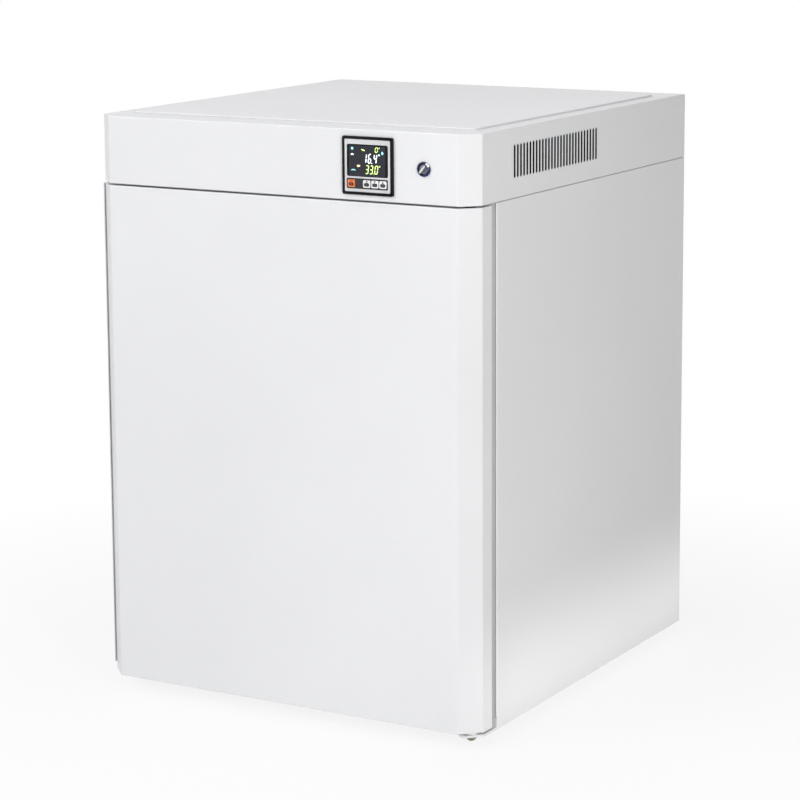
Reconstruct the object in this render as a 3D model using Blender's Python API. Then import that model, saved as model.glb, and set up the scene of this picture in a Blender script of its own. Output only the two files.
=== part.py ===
"""Water-jacketed laboratory incubator, 80 litres, built from its separate pieces.

Sizes below are in millimetres; meshes are written in metres. The front faces -Y, +X is the
right-hand side seen from the front, and +Z is up. While modelling, X = 0 is the middle of the
cabinet, Y = 0 the front face of the door and Z = 0 the floor. The empty "incubator" then
carries everything, so that the finished object stands centred over the origin.
"""
import math

import bmesh
import bpy
from mathutils import Matrix, Vector

MM = 0.001
FIT = 0.3                   # gap that touching pieces keep

# Chamber and the walls around it
CHAMBER_WIDTH = 400.0
CHAMBER_HEIGHT = 500.0
CHAMBER_DEPTH = 430.0
CHAMBER_RADIUS = 10.0
SIDE_WALL = 80.0            # chamber face to outer face of the case
TOP_WALL = 80.0
BOTTOM_WALL = 87.0
BACK_WALL = 107.0
WATER_GAP = 26.0
TANK_SHEET = 1.2
CASE_SHEET = 1.5
CASE_EDGE_RADIUS = 2.0

# Front of the cabinet
DOOR_THICKNESS = 46.0
GASKET_GAP = 15.0           # back of the door to front of the case
RECESS = 17.0               # front of the case to the chamber's flange
RECESS_MARGIN = 19.0        # chamber opening to the wall of the recess
FRAME_WALL = 3.7
FRAME_LIP = 6.3
FRAME_LIP_THICKNESS = 1.2
CHAMFER = 23.0
EDGE_ROUND = 1.2

# Header
HEADER_HEIGHT = 87.0
SIDE_SEAM = 1.2             # header skin to case
DOOR_SEAM = 3.0             # header skin to top of the door
HEADER_SHEET = 1.0
FLOOR_SHEET = 2.0
COVER_SIDE_INSET = 25.0
COVER_FRONT_INSET = 52.0
COVER_BACK_INSET = 50.0
COVER_THICKNESS = 2.0
COVER_RADIUS = 6.0
VENT_COUNT = 28
VENT_PITCH = 8.45
VENT_WIDTH = 5.0
VENT_HEIGHT = 43.0
VENT_FIRST = 106.0          # first slot, behind the front face
VENT_DROP = 42.0            # roof to the middle of the slots
SCREW_BACK = 390.0
SCREW_DROP = 9.0
SCREW_HEAD_RADIUS = 4.2
SCREW_HEAD_HEIGHT = 1.6
SCREW_SHANK_RADIUS = 2.0

# Feet
FOOT_HEIGHT = 14.0
FOOT_RADIUS = 18.0
FOOT_STUD_RADIUS = 5.0
FOOT_STUD_LENGTH = 16.0
FOOT_SIDE_INSET = 58.0
FOOT_FRONT_INSET = 34.0
FOOT_BACK_INSET = 45.0
FOOT_NECK_RADIUS = 12.0
FOOT_POCKET = 18.0          # floor of the case to the top of the foam's pocket for a stud

# Outer door
DOOR_SKIN = 1.2
DOOR_BOTTOM_GAP = 6.0       # bottom of the case to bottom of the door
LINER_SHEET = 1.2
PAN_RISE = 5.0
PAN_SLOPE = 7.0
GASKET_INSET = 18.0
GASKET_WIDTH = 22.0
GRIP_PROUD = 3.2
GRIP_BACK = 44.5
GRIP_GROOVE = 1.6           # door to the lip of the grip
GRIP_GROOVE_DEPTH = 6.0
GRIP_TOP_INSET = 1.0
GRIP_BOTTOM_INSET = 9.0
HINGE_INSET = 16.0          # side face to hinge axis
HINGE_BACK = 21.0           # front face to hinge axis
PIN_RADIUS = 4.0
PIN_REACH = 12.0            # pin length inside the bush
BUSH_WALL = 2.0
BUSH_FLANGE = 1.5           # how far the bush's flange stands out all round
BUSH_LENGTH = 16.0
UPPER_FLANGE = 0.9
BRACKET_THICKNESS = 3.0
BRACKET_WIDTH = 30.0
BRACKET_UPSTAND = 15.0
BRACKET_NOSE = 12.0         # hinge axis to the front of the bracket
BRACKET_CORNER = 6.0
BRACKET_SETBACK = 3.0       # chamfer of the door to the bracket's own, front to back
BRACKET_FOLD = 2.5
NUT_RADIUS = 7.0
NUT_HEIGHT = 6.0
PIN_HEAD = 4.0

# Inner glass door
GLASS_THICKNESS = 5.0
GLASS_FRAME_WIDTH = 14.0
GLASS_FRAME_DEPTH = 10.0
GLASS_GROOVE = 8.0
GLASS_SIDE_GAP = 2.0
GLASS_END_GAP = 5.0
GLASS_SEAL = 2.4
GLASS_SEAL_WIDTH = 9.0
PIVOT_INSET = 5.0           # edge of the frame to the pivot axis
PIVOT_RADIUS = 2.3
PIVOT_REACH = 5.0
PIVOT_PLATE = 3.0
PIVOT_PLATE_WIDTH = 12.0
KNOB_RADIUS = 7.5
KNOB_LENGTH = 10.5

# Chamber fittings
DUCT_DEPTH = 30.0
DUCT_SHEET = 1.2
DUCT_END_GAP = 2.0          # past the rounded corners of the chamber
INTAKE_PITCH = 15.0
INTAKE_WIDTH = 5.0
OUTLET_PITCH = 50.0
OUTLET_WIDTH = 6.0
OUTLET_HEIGHT = 36.0
OUTLET_INSET = 34.0         # end of the duct cover to the middle of its outlets
FAN_RADIUS = 60.0
FAN_WIDTH = 18.0
FAN_HUB_RADIUS = 14.0
FAN_BLADES = 10
BLADE_LEAN = 22.0
BLADE_THICKNESS = 1.4
SHAFT_RADIUS = 4.0
SHAFT_TUBE_RADIUS = 15.0
SHAFT_TUBE_WALL = 3.0
MOTOR_RADIUS = 32.0
MOTOR_LENGTH = 45.0
MOTOR_FLANGE_RADIUS = 41.0
MOTOR_FLANGE = 3.0
SHAFT_REACH = 14.0          # end of the shaft behind the tank
RACK_SHEET = 2.0
RACK_UPRIGHT = 16.0
RACK_SPACING = 300.0
RACK_END_GAP = 12.0
RACK_LEDGES = 5
LEDGE_WIDTH = 12.0
LEDGE_THICKNESS = 1.5
LEDGE_LENGTH = 372.0
LEDGE_FLANGE = 10.0         # height of a ledge's flange against the wall
SHELF_LEDGES = (1, 3)       # ledges that carry a shelf, counted from the lowest
SHELF_SIDE_GAP = 1.7
SHELF_DEPTH = 376.0
SHELF_FRONT_GAP = 8.0
SHELF_RIM = 8.0
SHELF_RIM_HEIGHT = 7.0
SHELF_BAR = 3.0
SHELF_COLUMNS = 13
SHELF_ROWS = 2
PROBE_RADIUS = 3.0
PROBE_SIDE_GAP = 80.0       # side of the chamber to the probe, and to the level sensor opposite
PROBE_BACK_GAP = 68.0
PROBE_DROP = 30.0
SLEEVE_RADIUS = 6.0         # tube that carries the probe through the water
FLOAT_RADIUS = 9.0
FLOAT_HEIGHT = 12.0
FLOAT_GAP = 4.0             # chamber to the float
SENSOR_HEAD_HEIGHT = 10.0
SENSOR_POCKET_RADIUS = 11.0
PROBE_COLLAR_RADIUS = 8.0
PROBE_HEAD_HEIGHT = 14.0

# Rear fittings
REAR_REACH = 46.0           # how far the fittings stand out behind the case
NOZZLE_RADIUS = 9.0
NOZZLE_BORE = 6.0
ESCUTCHEON_RADIUS = 17.0
ESCUTCHEON_THICKNESS = 2.5
FILLER_INSET = 90.0         # right-hand side of the case to the filler
OVERFLOW_INSET = 150.0
DRAIN_INSET = 90.0
FILLER_NECK_HEIGHT = 34.0
FILLER_CUP_RADIUS = 14.0
CAP_WALL = 3.0
CAP_SKIRT = 12.0
CAP_TOP = 5.0
FILLER_MOUTH = 18.0         # rim of the cup to where it begins to widen
BARB_RISE = 1.5
BALL_RADIUS = 13.0
BALL_LENGTH = 20.0
STEM_RADIUS = 5.0
STEM_HEIGHT = 4.0
LEVER_LENGTH = 42.0
LEVER_THICKNESS = 3.0
LEVER_HALF_WIDTH = 6.0
HEATER_RADIUS = 5.0
HEATER_SPAN = 120.0
HEATER_FRONT_GAP = 28.0     # chamber flange to the front of the hairpin
HEATER_FLANGE = 3.0
HEATER_FLANGE_MARGIN = 12.0
HEATER_TAIL = 16.0          # tank to the ends of the heater
HEATER_POCKET = 26.0
HEATER_POCKET_HALF = 14.0
INLET_WIDTH = 48.0
INLET_HEIGHT = 30.0
INLET_INSET = 90.0          # right-hand side of the case to the mains inlet
INLET_FLANGE = 2.5
INLET_SIDE_MARGIN = 6.0     # edge of the flange to the body
INLET_END_MARGIN = 2.5
INLET_DEPTH = 22.0
INLET_SOCKET_DEPTH = 14.0
INLET_WALL = 3.0
INLET_CORNER = 5.0
CONTACT_HALF_WIDTH = 1.0
CONTACT_HALF_HEIGHT = 2.0
CONTACT_PLACES = ((-7.0, -2.0), (7.0, -2.0), (0.0, 2.0))

# Controller and switch
CONTROLLER_SIZE = 72.0
CONTROLLER_INSET = 146.0    # right-hand side of the header to the controller's middle
CONTROLLER_DROP = 44.5
CONTROLLER_PROUD = 3.3
CONTROLLER_BODY = 67.0
CONTROLLER_BODY_DEPTH = 78.0
BEZEL_WIDTH = 3.4
BEZEL_STEP = 0.6            # front of the bezel to the face
FACE_SHEET = 1.6
WINDOW_WIDTH = 58.4
WINDOW_HEIGHT = 39.8
WINDOW_RISE = 6.4
KEY_WIDTH = 10.0
KEY_HEIGHT = 9.2
KEY_DROP = 22.1
KEY_TRAVEL = 0.8
KEY_PROUD = 0.7
KEY_PLACES = {"key_set": -22.8, "key_shift": -0.9, "key_down": 10.7, "key_up": 22.1}
SWITCH_INSET = 68.0
SWITCH_RADIUS = 9.2
SWITCH_CORE_RADIUS = 6.2
SWITCH_BARREL_RADIUS = 8.0
SWITCH_PROUD = 2.6
SWITCH_BAR_WIDTH = 2.6
SWITCH_BAR_PROUD = 3.2
SWITCH_ANGLE = 40.0         # bar, clockwise from upright, in the on position
SWITCH_DEPTH = 24.0
SWITCH_BACK_WALL = 6.0
SWITCH_NUT_RADIUS = 10.7
SWITCH_NUT_HEIGHT = 3.0
SWITCH_CORE_STEP = 1.4      # front of the bezel to the face of the core
SINK_FINS = 9
SINK_WIDTH = 80.0
SINK_LENGTH = 70.0
SINK_HEIGHT = 34.0
SINK_BASE = 5.0
SINK_FIN = 1.6
SINK_INSET = 160.0          # left-hand side of the header to the middle of the sink
SINK_BACK = 220.0
RELAY_HALF_WIDTH = 22.0
RELAY_HALF_LENGTH = 29.0
RELAY_HEIGHT = 14.0
CUT_OVER = 5.0              # how far a cutter reaches past what it cuts

# Places worked out from the sizes above
WIDTH = CHAMBER_WIDTH + 2 * SIDE_WALL
CASE_HEIGHT = CHAMBER_HEIGHT + TOP_WALL + BOTTOM_WALL
CASE_FRONT = DOOR_THICKNESS + GASKET_GAP
FLANGE_Y = CASE_FRONT + RECESS
CHAMBER_BACK = FLANGE_Y + CHAMBER_DEPTH
BACK = CHAMBER_BACK + BACK_WALL
CASE_BOTTOM = FOOT_HEIGHT
CASE_TOP = CASE_BOTTOM + CASE_HEIGHT
CHAMBER_BOTTOM = CASE_BOTTOM + BOTTOM_WALL
CHAMBER_TOP = CHAMBER_BOTTOM + CHAMBER_HEIGHT
CHAMBER_MIDDLE = (CHAMBER_BOTTOM + CHAMBER_TOP) / 2
HEADER_BOTTOM = CASE_TOP + SIDE_SEAM
ROOF = HEADER_BOTTOM + HEADER_HEIGHT
FLOOR_BOTTOM = CASE_TOP + FIT
FLOOR_TOP = FLOOR_BOTTOM + FLOOR_SHEET
DOOR_BOTTOM = CASE_BOTTOM + DOOR_BOTTOM_GAP
DOOR_TOP = HEADER_BOTTOM - DOOR_SEAM
HINGE_X = WIDTH / 2 - HINGE_INSET
PROBE_X = PROBE_SIDE_GAP - CHAMBER_WIDTH / 2
FILLER_X = WIDTH / 2 - FILLER_INSET
OVERFLOW_X = WIDTH / 2 - OVERFLOW_INSET
DRAIN_X = WIDTH / 2 - DRAIN_INSET
INLET_X = WIDTH / 2 - INLET_INSET
CONTROLLER_X = WIDTH / 2 - CONTROLLER_INSET
SWITCH_X = WIDTH / 2 - SWITCH_INSET
SINK_X = SINK_INSET - WIDTH / 2
TANK_HALF_WIDTH = CHAMBER_WIDTH / 2 + TANK_SHEET + WATER_GAP
TANK_HALF_HEIGHT = CHAMBER_HEIGHT / 2 + TANK_SHEET + WATER_GAP
TANK_TOP = CHAMBER_TOP + TANK_SHEET + WATER_GAP + TANK_SHEET
TANK_BACK = CHAMBER_BACK + TANK_SHEET + WATER_GAP
TANK_OUT = TANK_BACK + TANK_SHEET
RECESS_HALF_WIDTH = CHAMBER_WIDTH / 2 + RECESS_MARGIN
RECESS_HALF_HEIGHT = CHAMBER_HEIGHT / 2 + RECESS_MARGIN
GLASS_HALF_WIDTH = RECESS_HALF_WIDTH - GLASS_SIDE_GAP
GLASS_HALF_HEIGHT = RECESS_HALF_HEIGHT - GLASS_END_GAP
GLASS_BACK = FLANGE_Y - FIT - GLASS_SEAL - FIT
GLASS_FRONT = GLASS_BACK - GLASS_FRAME_DEPTH
PIVOT_X = GLASS_HALF_WIDTH - PIVOT_INSET
PIVOT_Y = (GLASS_FRONT + GLASS_BACK) / 2 - 0.5
DUCT_Y = CHAMBER_BACK - DUCT_DEPTH
FAN_Y = CHAMBER_BACK - (DUCT_DEPTH - FAN_WIDTH) / 2 - FAN_WIDTH
FAN_Z = CHAMBER_MIDDLE
PROBE_Y = CHAMBER_BACK - PROBE_BACK_GAP
CONTROL_Z = ROOF - CONTROLLER_DROP
FITTING_Y = BACK + REAR_REACH - FILLER_CUP_RADIUS - CAP_WALL
FILLER_Z = CHAMBER_TOP + 8.0
DRAIN_Z = CHAMBER_BOTTOM - TANK_SHEET - WATER_GAP / 2
BUSH_RADIUS = PIN_RADIUS + FIT + BUSH_WALL
FILLER_PLACE = (FILLER_X, FILLER_Z)
OVERFLOW_PLACE = (OVERFLOW_X, FILLER_Z)
DRAIN_PLACE = (DRAIN_X, DRAIN_Z)
PIPE_PLACES = (FILLER_PLACE, OVERFLOW_PLACE, DRAIN_PLACE)
HINGE_ORIGIN = (HINGE_X, HINGE_BACK, DOOR_BOTTOM)
INLET_HALF_WIDTH = INLET_WIDTH / 2 - INLET_SIDE_MARGIN
INLET_HALF_HEIGHT = INLET_HEIGHT / 2 - INLET_END_MARGIN
LEFT_MOST = -WIDTH / 2 - FIT - GRIP_PROUD
RIGHT_MOST = WIDTH / 2 + FIT + SCREW_HEAD_HEIGHT
FRONT_MOST = -SWITCH_PROUD - SWITCH_BAR_PROUD
BACK_MOST = BACK + REAR_REACH


# Helpers: every outline is a list of (u, v) points, and every mesh is in millimetres

PLANES = {
    "X": lambda u, v, w: (w, u, v),
    "Y": lambda u, v, w: (u, w, v),
    "Z": lambda u, v, w: (u, v, w),
}


def rectangle(left, right, low, high):
    """Outline of a plain rectangle."""
    return [(left, low), (right, low), (right, high), (left, high)]


def rounded(half_u, half_v, radius, centre=(0.0, 0.0), steps=3):
    """Outline of a rectangle with round corners."""
    points = []
    corners = ((1, -1, -90), (1, 1, 0), (-1, 1, 90), (-1, -1, 180))
    for sign_u, sign_v, start in corners:
        cu = centre[0] + sign_u * (half_u - radius)
        cv = centre[1] + sign_v * (half_v - radius)
        for step in range(steps + 1):
            angle = math.radians(start + 90 * step / steps)
            points.append((cu + radius * math.cos(angle), cv + radius * math.sin(angle)))
    return points


def circle(radius, centre=(0.0, 0.0), steps=24):
    """Outline of a circle."""
    angles = [math.tau * step / steps for step in range(steps)]
    return [(centre[0] + radius * math.cos(a), centre[1] + radius * math.sin(a)) for a in angles]


def slot(width, height, centre, steps=2):
    """Outline of an upright slot with round ends."""
    radius = width / 2
    points = []
    for sign, start in ((1, 0), (-1, 180)):
        cv = centre[1] + sign * (height / 2 - radius)
        for step in range(steps + 1):
            angle = math.radians(start + 180 * step / steps)
            points.append((centre[0] + radius * math.cos(angle), cv + radius * math.sin(angle)))
    return points


def chamfered(inset, back):
    """Plan of the header and the door: square behind, both front corners cut at 45 degrees."""
    shift = inset * (math.sqrt(2) - 1)
    side = WIDTH / 2 - inset
    front = WIDTH / 2 - CHAMFER - shift
    corner = CHAMFER + shift
    return [(-side, back), (-side, corner), (-front, inset),
            (front, inset), (side, corner), (side, back)]


def outward(bm):
    """Turn every face outwards."""
    bmesh.ops.recalc_face_normals(bm, faces=bm.faces[:])
    return bm


def plate(outline, axis, start, end, holes=()):
    """A flat outline, with any holes, drawn out along an axis."""
    bm = bmesh.new()
    place = PLANES[axis]
    edges = []
    for loop in (outline, *holes):
        verts = [bm.verts.new(place(u, v, start)) for u, v in loop]
        edges += [bm.edges.new(pair) for pair in zip(verts, verts[1:] + verts[:1])]
    if holes:
        bmesh.ops.triangle_fill(bm, edges=edges, use_beauty=True, use_dissolve=False)
    else:
        bm.faces.new(verts)
    drawn = bmesh.ops.extrude_face_region(bm, geom=bm.faces[:])
    moved = [item for item in drawn["geom"] if isinstance(item, bmesh.types.BMVert)]
    bmesh.ops.translate(bm, vec=Vector(place(0, 0, end - start)), verts=moved)
    return outward(bm)


def block(low, high):
    """A rectangular block between two corners."""
    return plate(rectangle(low[0], high[0], low[1], high[1]), "Z", low[2], high[2])


def loft(loops, ring=False):
    """Skin a row of loops with equal counts; the ends are capped unless they meet in a ring."""
    bm = bmesh.new()
    rows = [[bm.verts.new(point) for point in loop] for loop in loops]
    pairs = list(zip(rows, rows[1:]))
    if ring:
        pairs.append((rows[-1], rows[0]))
    else:
        bm.faces.new(rows[0])
        bm.faces.new(rows[-1])
    for first, second in pairs:
        count = len(first)
        for i in range(count):
            j = (i + 1) % count
            bm.faces.new((first[i], first[j], second[j], second[i]))
    return outward(bm)


def tray(stations, axis="Y"):
    """Loft outlines, each given with its place along the axis."""
    place = PLANES[axis]
    return loft([[place(u, v, w) for u, v in outline] for outline, w in stations])


def frame_sweep(profile, half_x, half_z, middle):
    """Sweep a closed profile of (outward offset, y) points round an upright rectangle."""
    loops = []
    for sign_x, sign_z in ((1, 1), (-1, 1), (-1, -1), (1, -1)):
        loops.append([(sign_x * (half_x + out), y, middle + sign_z * (half_z + out))
                      for out, y in profile])
    return loft(loops, ring=True)


def lathe(profile, axis="Z", centre=(0, 0, 0), steps=16, closed=False):
    """Turn a profile of (radius, height) points round an axis through the centre."""
    bm = bmesh.new()
    verts = [bm.verts.new((radius, 0, height)) for radius, height in profile]
    edges = [bm.edges.new(pair) for pair in zip(verts, verts[1:])]
    if closed:
        edges.append(bm.edges.new((verts[-1], verts[0])))
    bmesh.ops.spin(bm, geom=verts + edges, cent=(0, 0, 0), axis=(0, 0, 1), angle=math.tau,
                   steps=steps, use_merge=True, use_duplicate=False)
    bmesh.ops.remove_doubles(bm, verts=bm.verts[:], dist=1e-4)
    direction = {"X": (1, 0, 0), "Y": (0, 1, 0), "Z": (0, 0, 1)}[axis]
    turn = Vector((0, 0, 1)).rotation_difference(Vector(direction)).to_matrix().to_4x4()
    bm.transform(Matrix.Translation(centre) @ turn)
    return outward(bm)


def tube(points, radius, sides=8):
    """A round bar along a path that lies in one level plane."""
    loops = []
    path = [Vector(point) for point in points]
    for index, point in enumerate(path):
        before = path[max(index - 1, 0)]
        after = path[min(index + 1, len(path) - 1)]
        tangent = (after - before).normalized()
        across = tangent.cross(Vector((0, 0, 1)))
        ring = []
        for side in range(sides):
            angle = math.tau * side / sides
            offset = math.cos(angle) * across + math.sin(angle) * Vector((0, 0, 1))
            ring.append(point + radius * offset)
        loops.append(ring)
    return loft(loops)


def merge(*meshes):
    """Put several meshes into one, as separate bodies."""
    joined = bmesh.new()
    for bm in meshes:
        part = bpy.data.meshes.new("part")
        bm.to_mesh(part)
        bm.free()
        joined.from_mesh(part)
        bpy.data.meshes.remove(part)
    return joined


def round_edges(bm, pick, width=EDGE_ROUND, segments=2):
    """Round the edges whose two end points satisfy the test."""
    edges = [edge for edge in bm.edges if pick(*(vert.co for vert in edge.verts))]
    bmesh.ops.bevel(bm, geom=edges, offset=width, segments=segments, profile=0.5, affect="EDGES")
    return bm


MATERIALS = {}


def material(name, colour, roughness, metallic=0.0, alpha=1.0):
    """A Principled material, kept under its name."""
    made = bpy.data.materials.new(name)
    made.use_nodes = True
    shader = made.node_tree.nodes["Principled BSDF"]
    shader.inputs["Base Color"].default_value = (*colour, 1.0)
    shader.inputs["Roughness"].default_value = roughness
    shader.inputs["Metallic"].default_value = metallic
    shader.inputs["Alpha"].default_value = alpha
    MATERIALS[name] = made


def add(name, bm, finish, axis_point=(0.0, 0.0, 0.0), smooth=False):
    """Make the object, with its origin at the given point, and hang it on the incubator's empty."""
    origin = Vector(axis_point)
    bm.transform(Matrix.Scale(MM, 4) @ Matrix.Translation(-origin))
    mesh = bpy.data.meshes.new(name)
    bm.to_mesh(mesh)
    bm.free()
    if smooth:
        mesh.shade_smooth()
        mesh.set_sharp_from_angle(angle=math.radians(35))
    made = bpy.data.objects.new(name, mesh)
    bpy.context.scene.collection.objects.link(made)
    made.location = origin * MM
    made.parent = bpy.data.objects["incubator"]
    if finish:
        mesh.materials.append(MATERIALS[finish])
    return made


def combine(target, bm, operation):
    """Cut a mesh out of an object, or join it on, with a Boolean modifier."""
    label = f"{target.name}_{operation.lower()}_{len(target.modifiers)}"
    tool = add(label, bm, None)
    tool.hide_render = True
    tool.display_type = "WIRE"
    modifier = target.modifiers.new(label, "BOOLEAN")
    modifier.object = tool
    modifier.operation = operation
    modifier.solver = "EXACT"
    return target


def cut(target, *meshes):
    """Cut each mesh out of the object."""
    for bm in meshes:
        combine(target, bm, "DIFFERENCE")
    return target


def join(target, *meshes):
    """Join each mesh on to the object."""
    for bm in meshes:
        combine(target, bm, "UNION")
    return target


def rod(radius, axis, centre, start, end, steps=16):
    """A plain round bar between two places on an axis."""
    return lathe([(0, start), (radius, start), (radius, end), (0, end)], axis, centre, steps)


# Case and header

def foot_places():
    """The four places of the feet, named."""
    side = WIDTH / 2 - FOOT_SIDE_INSET
    front = CASE_FRONT + FOOT_FRONT_INSET
    back = BACK - FOOT_BACK_INSET
    return {
        "foot_front_left": (-side, front),
        "foot_front_right": (side, front),
        "foot_rear_left": (-side, back),
        "foot_rear_right": (side, back),
    }


def cabinet_case():
    """Folded sheet case, open behind, with the gasket's landing round the front opening."""
    half = WIDTH / 2
    body = block((-half, CASE_FRONT, CASE_BOTTOM), (half, BACK, CASE_TOP))
    round_edges(body, lambda a, b: max(a.y, b.y) < CASE_FRONT + 1 and abs(a.x - b.x) < 1,
                CASE_EDGE_RADIUS)
    case = add("cabinet_case", body, "white_paint")
    inner = half - CASE_SHEET
    cut(case, block((-inner, CASE_FRONT + CASE_SHEET, CASE_BOTTOM + CASE_SHEET),
                    (inner, BACK + CUT_OVER, CASE_TOP - CASE_SHEET)))
    wall = FRAME_WALL + FIT
    opening = rounded(RECESS_HALF_WIDTH + wall, RECESS_HALF_HEIGHT + wall, 1.0,
                      (0, CHAMBER_MIDDLE), 2)
    cut(case, plate(opening, "Y", CASE_FRONT - CUT_OVER, CASE_FRONT + CUT_OVER))
    low, high = CASE_BOTTOM - CUT_OVER, CASE_BOTTOM + CUT_OVER
    holes = [rod(FOOT_STUD_RADIUS + FIT, "Z", (x, y, 0), low, high, 12)
             for x, y in foot_places().values()]
    probe = (PROBE_X, PROBE_Y, 0)
    holes.append(rod(PROBE_RADIUS + 1, "Z", probe, CASE_TOP - CUT_OVER, CASE_TOP + CUT_OVER, 10))
    cut(case, merge(*holes))
    return case


def back_panel():
    """Flat rear panel with clearance holes for the water fittings."""
    half = WIDTH / 2 - CASE_SHEET - FIT
    low = CASE_BOTTOM + CASE_SHEET + FIT
    high = CASE_TOP - CASE_SHEET - FIT
    hole = NOZZLE_RADIUS + 1.0
    holes = [circle(hole, place, 12) for place in PIPE_PLACES]
    mesh = plate(rectangle(-half, half, low, high), "Y", BACK - CASE_SHEET, BACK, holes)
    add("back_panel", mesh, "white_paint")


def front_frame():
    """Plastic breaker strip that lines the recess of the inner door."""
    lip = FRAME_WALL + FRAME_LIP
    lip_back = CASE_FRONT - FIT
    lip_front = lip_back - FRAME_LIP_THICKNESS
    profile = [(0, lip_front), (lip - 0.6, lip_front), (lip, lip_front + 0.6), (lip, lip_back),
               (FRAME_WALL, lip_back), (FRAME_WALL, FLANGE_Y - FIT), (0, FLANGE_Y - FIT)]
    add("front_frame", frame_sweep(profile, RECESS_HALF_WIDTH, RECESS_HALF_HEIGHT, CHAMBER_MIDDLE),
        "grey_plastic")


def header_housing():
    """Chamfered header skin: slotted for air on both sides and cut for the controls."""
    skin = plate(chamfered(0, BACK), "Z", HEADER_BOTTOM, ROOF)
    round_edges(skin, lambda a, b: min(a.z, b.z) > ROOF - 1
                or (abs(a.z - b.z) > 1 and a.y < CHAMFER + 1))
    housing = add("header_housing", skin, "white_paint")
    cut(housing, plate(chamfered(HEADER_SHEET, BACK + CUT_OVER), "Z",
                       HEADER_BOTTOM - CUT_OVER, ROOF - HEADER_SHEET))
    reach = WIDTH / 2 + CUT_OVER
    height = ROOF - VENT_DROP
    vents = []
    for index in range(VENT_COUNT):
        place = (VENT_FIRST + index * VENT_PITCH, height)
        vents.append(plate(slot(VENT_WIDTH, VENT_HEIGHT, place), "X", -reach, reach))
    cut(housing, merge(*vents))
    half = CONTROLLER_BODY / 2 + FIT
    window = rectangle(CONTROLLER_X - half, CONTROLLER_X + half, CONTROL_Z - half, CONTROL_Z + half)
    openings = [
        plate(window, "Y", -CUT_OVER, CUT_OVER),
        rod(SWITCH_BARREL_RADIUS + FIT, "Y", (SWITCH_X, 0, CONTROL_Z), -CUT_OVER, CUT_OVER),
        rod(SCREW_SHANK_RADIUS + FIT, "X", (0, SCREW_BACK, ROOF - SCREW_DROP), -reach, reach, 10),
    ]
    cut(housing, merge(*openings))
    return housing


def header_floor():
    """Floor of the header: it rests on the case and overhangs the door, where the upper pin hangs."""
    outline = chamfered(HEADER_SHEET + FIT, BACK - CASE_SHEET - FIT)
    holes = [circle(PIN_RADIUS + FIT, (HINGE_X, HINGE_BACK), 16),
             circle(PROBE_RADIUS + 1, (PROBE_X, PROBE_Y), 16)]
    add("header_floor", plate(outline, "Z", FLOOR_BOTTOM, FLOOR_TOP, holes), "zinc_steel")


def top_cover():
    """Raised access cover on the roof."""
    half_x = WIDTH / 2 - COVER_SIDE_INSET
    front = COVER_FRONT_INSET
    back = BACK - COVER_BACK_INSET
    outline = rounded(half_x, (back - front) / 2, COVER_RADIUS, (0, (front + back) / 2))
    low = ROOF + FIT
    high = low + COVER_THICKNESS
    mesh = plate(outline, "Z", low, high)
    round_edges(mesh, lambda a, b: min(a.z, b.z) > high - 0.1, 0.5, 1)
    add("top_cover", mesh, "white_paint")


def header_back():
    """Rear panel of the header, cut for the mains inlet."""
    half = WIDTH / 2 - HEADER_SHEET - FIT
    low = FLOOR_BOTTOM
    high = ROOF - HEADER_SHEET - FIT
    hole = rectangle(INLET_X - INLET_HALF_WIDTH, INLET_X + INLET_HALF_WIDTH,
                     CONTROL_Z - INLET_HALF_HEIGHT, CONTROL_Z + INLET_HALF_HEIGHT)
    mesh = plate(rectangle(-half, half, low, high), "Y", BACK - CASE_SHEET, BACK, [hole])
    add("header_back", mesh, "white_paint")


def header_screws():
    """One painted cross-recessed screw in each side of the header."""
    for name, sign in (("header_screw_left", -1), ("header_screw_right", 1)):
        seat = WIDTH / 2 + FIT
        top = seat + SCREW_HEAD_HEIGHT
        head = [(0, seat - 9), (SCREW_SHANK_RADIUS, seat - 9), (SCREW_SHANK_RADIUS, seat),
                (SCREW_HEAD_RADIUS, seat), (SCREW_HEAD_RADIUS, seat + 0.5),
                (SCREW_HEAD_RADIUS * 0.7, top), (0, top)]
        mesh = lathe(head, "X", (0, 0, 0), 12)
        mesh.transform(Matrix.Rotation(0 if sign > 0 else math.pi, 4, "Z"))
        mesh.transform(Matrix.Translation((0, SCREW_BACK, ROOF - SCREW_DROP)))
        add(name, mesh, "white_paint", smooth=True)


def feet():
    """Four levelling feet, each a rubber pad on a threaded stud through the case."""
    for name, (x, y) in foot_places().items():
        pad_top = CASE_BOTTOM - FIT
        stud_top = pad_top + FOOT_STUD_LENGTH
        profile = [(0, 0), (FOOT_RADIUS - 2, 0), (FOOT_RADIUS, 1.5), (FOOT_RADIUS, 4.0),
                   (FOOT_NECK_RADIUS + 1, pad_top - 3), (FOOT_NECK_RADIUS, pad_top),
                   (FOOT_STUD_RADIUS, pad_top), (FOOT_STUD_RADIUS, stud_top - 1),
                   (FOOT_STUD_RADIUS - 1, stud_top), (0, stud_top)]
        add(name, lathe(profile, "Z", (x, y, 0), 12), "black_rubber", (x, y, CASE_BOTTOM), True)


# Water jacket and insulation

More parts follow.
